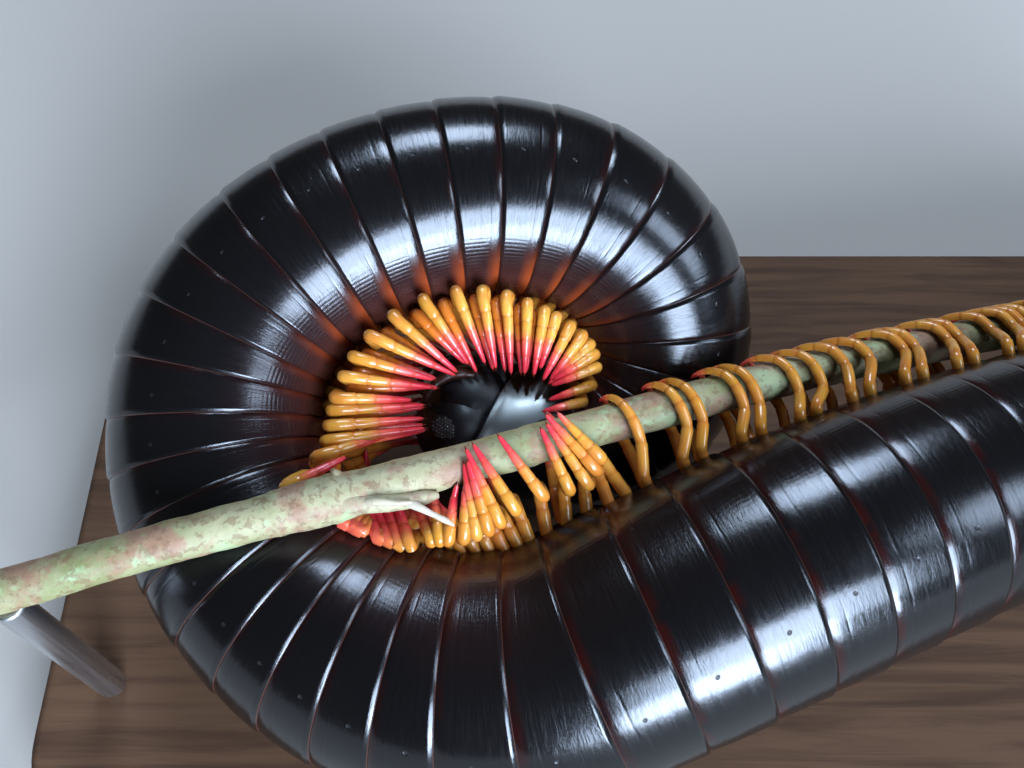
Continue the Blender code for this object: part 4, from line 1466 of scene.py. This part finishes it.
# %% [markdown]
# At its node the twig is swollen, carries a small bud, the stub of a side shoot that lies along
# it, and a short white spur of dead wood. All of them are paths with a thickness, so one tree
# sweeps them together and roughens them with noise.

# %% Tree that builds the twig
twig_tree, twig_in, twig_out = new_tree("twig", [
    ("Sides", "Int", 56), ("Roughness", "Float", 0.00030), ("Material", "Material", None)])
stem = sweep(twig_tree, twig_in["Geometry"], twig_in["Sides"], "thickness", "around")
lumps = node(twig_tree, "ShaderNodeTexNoise", {"Scale": 420.0, "Detail": 3.0}).outputs["Fac"]
waves = node(twig_tree, "ShaderNodeTexNoise", {"Scale": 140.0, "Detail": 2.0}).outputs["Fac"]
lift = calc(twig_tree, "SUBTRACT", calc(twig_tree, "ADD", lumps, waves), 1.0)
lift = times(twig_tree, lift, twig_in["Roughness"])
normal = node(twig_tree, "GeometryNodeInputNormal").outputs[0]
rough = node(twig_tree, "GeometryNodeSetPosition",
             {"Geometry": stem, "Offset": scaled(twig_tree, normal, lift)}).outputs[0]
finish_tree(twig_tree, rough, twig_in["Material"], twig_out)
print("twig tree:", len(twig_tree.nodes), "nodes")

# %% [markdown]
# The side shoots are given point by point with a thickness, next to how pale each is:
# stub, splinter, dead spur and bud. The twig itself is a girth that swells at the node and at
# a few low ridges.

# %% Build the twig
NODE_AT, NODE_SWELL, NODE_LENGTH = 19.5, 0.16, 2.2
RIDGES = ((17.6, 0.05, 0.25), (20.9, 0.08, 0.22), (33.0, 0.03, 0.3), (48.0, 0.04, 0.3))
SIDE_SHOOTS = [
    (0.12, [(-11.8, -6.5, 9.8, 0.45), (-9.6, -6.8, 10.1, 0.55), (-7.8, -6.9, 9.9, 0.50),
            (-6.2, -6.8, 9.5, 0.46), (-4.9, -6.6, 9.1, 0.38), (-4.3, -6.5, 8.9, 0.20)]),
    (0.45, [(-8.6, -6.8, 10.3, 0.16), (-7.6, -6.7, 10.5, 0.20), (-6.6, -6.8, 10.3, 0.18),
            (-5.8, -6.8, 10.0, 0.08)]),
    (1.0, [(-6.4, -6.8, 9.6, 0.20), (-5.6, -7.0, 9.8, 0.23), (-4.6, -7.5, 9.9, 0.21),
           (-3.6, -8.0, 9.9, 0.18), (-3.3, -8.2, 9.9, 0.08)]),
    (0.0, [(-9.9, -5.9, 9.4, 0.42), (-10.1, -5.4, 9.6, 0.34), (-10.3, -5.1, 9.7, 0.22),
           (-10.4, -4.95, 9.7, 0.05)]),
]
STATION_STEP, FEWEST_STATIONS = 0.25, 8


def twig_girth(s):
    swell = NODE_SWELL * hill(s, NODE_AT, NODE_LENGTH)
    return TWIG_RADIUS * (1 + swell + sum(high * hill(s, at, wide) for at, high, wide in RIDGES))


branches = [(0.0, TWIG_TRACK)]
for pale, shoot in SIDE_SHOOTS:
    branches.append((pale, make_track([(*place(*point), girth) for *point, girth in shoot])))

points, edges = [], []
rows = {"thickness": [], "along": [], "pale": []}
for pale, track in branches:
    start = len(points)
    count = max(FEWEST_STATIONS, round(track[0][-1] / STATION_STEP))
    for k in range(count + 1):
        s = track[0][-1] * k / count
        sample = on_track(track, s)
        points.append(sample.to_3d())
        rows["thickness"].append(twig_girth(s) if track is TWIG_TRACK else sample[3])
        rows["along"].append(s)
        rows["pale"].append(pale)
    edges += [(k, k + 1) for k in range(start, len(points) - 1)]
twig = path_mesh("twig", points, edges, **rows)
bake(twig, twig_tree, Material=bark)
keep(twig, "perch_twig")

# %% [markdown]
# ## Stand
# The display stand is plain: a walnut base with rounded corners and two thin steel rods. The
# dark wood keeps the inside of the coil dark, as it is in the photo. Both take their size from
# the CAD model's boxes, and wood grain and brushed steel are the same noise, drawn out along
# one axis.

# %% Base
CORNER_RADIUS, TOP_EDGE_RADIUS = 0.008, 0.0007


def stretched(tree, scale):
    """Object coordinates, scaled along each axis."""
    return node(tree, "ShaderNodeMapping",
                {"Vector": object_place(tree), "Scale": scale}).outputs[0]


def size_and_middle(box):
    low, high = (Vector(corner) for corner in box)
    return high - low, (high + low) / 2


def finish_block(name, bm, material):
    """Object of a block or a rod, faces out, smooth but for its sharp edges."""
    bmesh.ops.recalc_face_normals(bm, faces=bm.faces)
    ob = from_bmesh(name, bm, material)
    smooth(ob, 30.0)
    return ob


walnut, tree, shader = new_material("stand_base")
grain = noise(tree, stretched(tree, (1.0, 14.0, 14.0)), 60.0, 5.0, 0.6, 0.5)
feed(tree, shader, {
    "Base Color": blend(tree, between(tree, grain, 0.35, 0.7), rgb(0.105, 0.056, 0.031),
                        rgb(0.055, 0.028, 0.016)),
    "Roughness": 0.75, "Specular IOR Level": 0.20})
bump(tree, shader, grain, 0.12, 0.0001)

size, middle = size_and_middle(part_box("stand_base"))
bm = bmesh.new()
bmesh.ops.create_cube(bm, size=1.0,
                      matrix=Matrix.Translation(middle) @ Matrix.Diagonal((*size, 1.0)))
uprights = [e for e in bm.edges if abs(e.verts[0].co.z - e.verts[1].co.z) > size.z / 2]
bmesh.ops.bevel(bm, geom=uprights, offset=CORNER_RADIUS, segments=16, affect="EDGES", profile=0.5)
rims = [e for e in bm.edges if min(v.co.z for v in e.verts) > middle.z]
bmesh.ops.bevel(bm, geom=rims, offset=TOP_EDGE_RADIUS, segments=4, affect="EDGES", profile=0.5)
keep(finish_block("base_plate", bm, walnut), "stand_base")

# %% Rods
ROD_EDGE_RADIUS = 0.00025

steel, tree, shader = new_material("stand_rod")
brushed = noise(tree, stretched(tree, (9.0, 9.0, 0.3)), 300.0, 3.0)
feed(tree, shader, {
    "Metallic": 1.0,
    "Base Color": blend(tree, brushed, rgb(0.50, 0.51, 0.53), rgb(0.60, 0.61, 0.63)),
    "Roughness": between(tree, brushed, 0.3, 0.7, 0.26, 0.34)})

for which in ("left", "right"):
    size, middle = size_and_middle(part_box("stand_rod_" + which))
    bm = bmesh.new()
    bmesh.ops.create_cone(bm, cap_ends=True, segments=48, radius1=size.x / 2, radius2=size.x / 2,
                          depth=size.z, matrix=Matrix.Translation(middle))
    ends = [e for e in bm.edges if abs(e.verts[0].co.z - e.verts[1].co.z) < 1e-6]
    bmesh.ops.bevel(bm, geom=ends, offset=ROD_EDGE_RADIUS, segments=3, affect="EDGES", profile=0.5)
    keep(finish_block("rod_" + which, bm, steel), "stand_rod_" + which)

# %% [markdown]
# ## Floor
# A plain pale floor, large enough to fill the view from any side. It lies a tenth of a
# millimetre low, so that the base's underside never shares its plane.

# %% Floor
FLOOR_HALF, FLOOR_DROP = 1.5, 0.0001

floor_paint, tree, shader = new_material("floor_paper")
feed(tree, shader, {
    "Base Color": rgb(0.39, 0.370, 0.344), "Roughness": 1.0, "Specular IOR Level": 0.0})
bm = bmesh.new()
bmesh.ops.create_grid(bm, x_segments=1, y_segments=1, size=FLOOR_HALF)
floor = from_bmesh("floor", bm, floor_paint)
floor.location.z = -FLOOR_DROP
print("pieces:", len(PIECES))
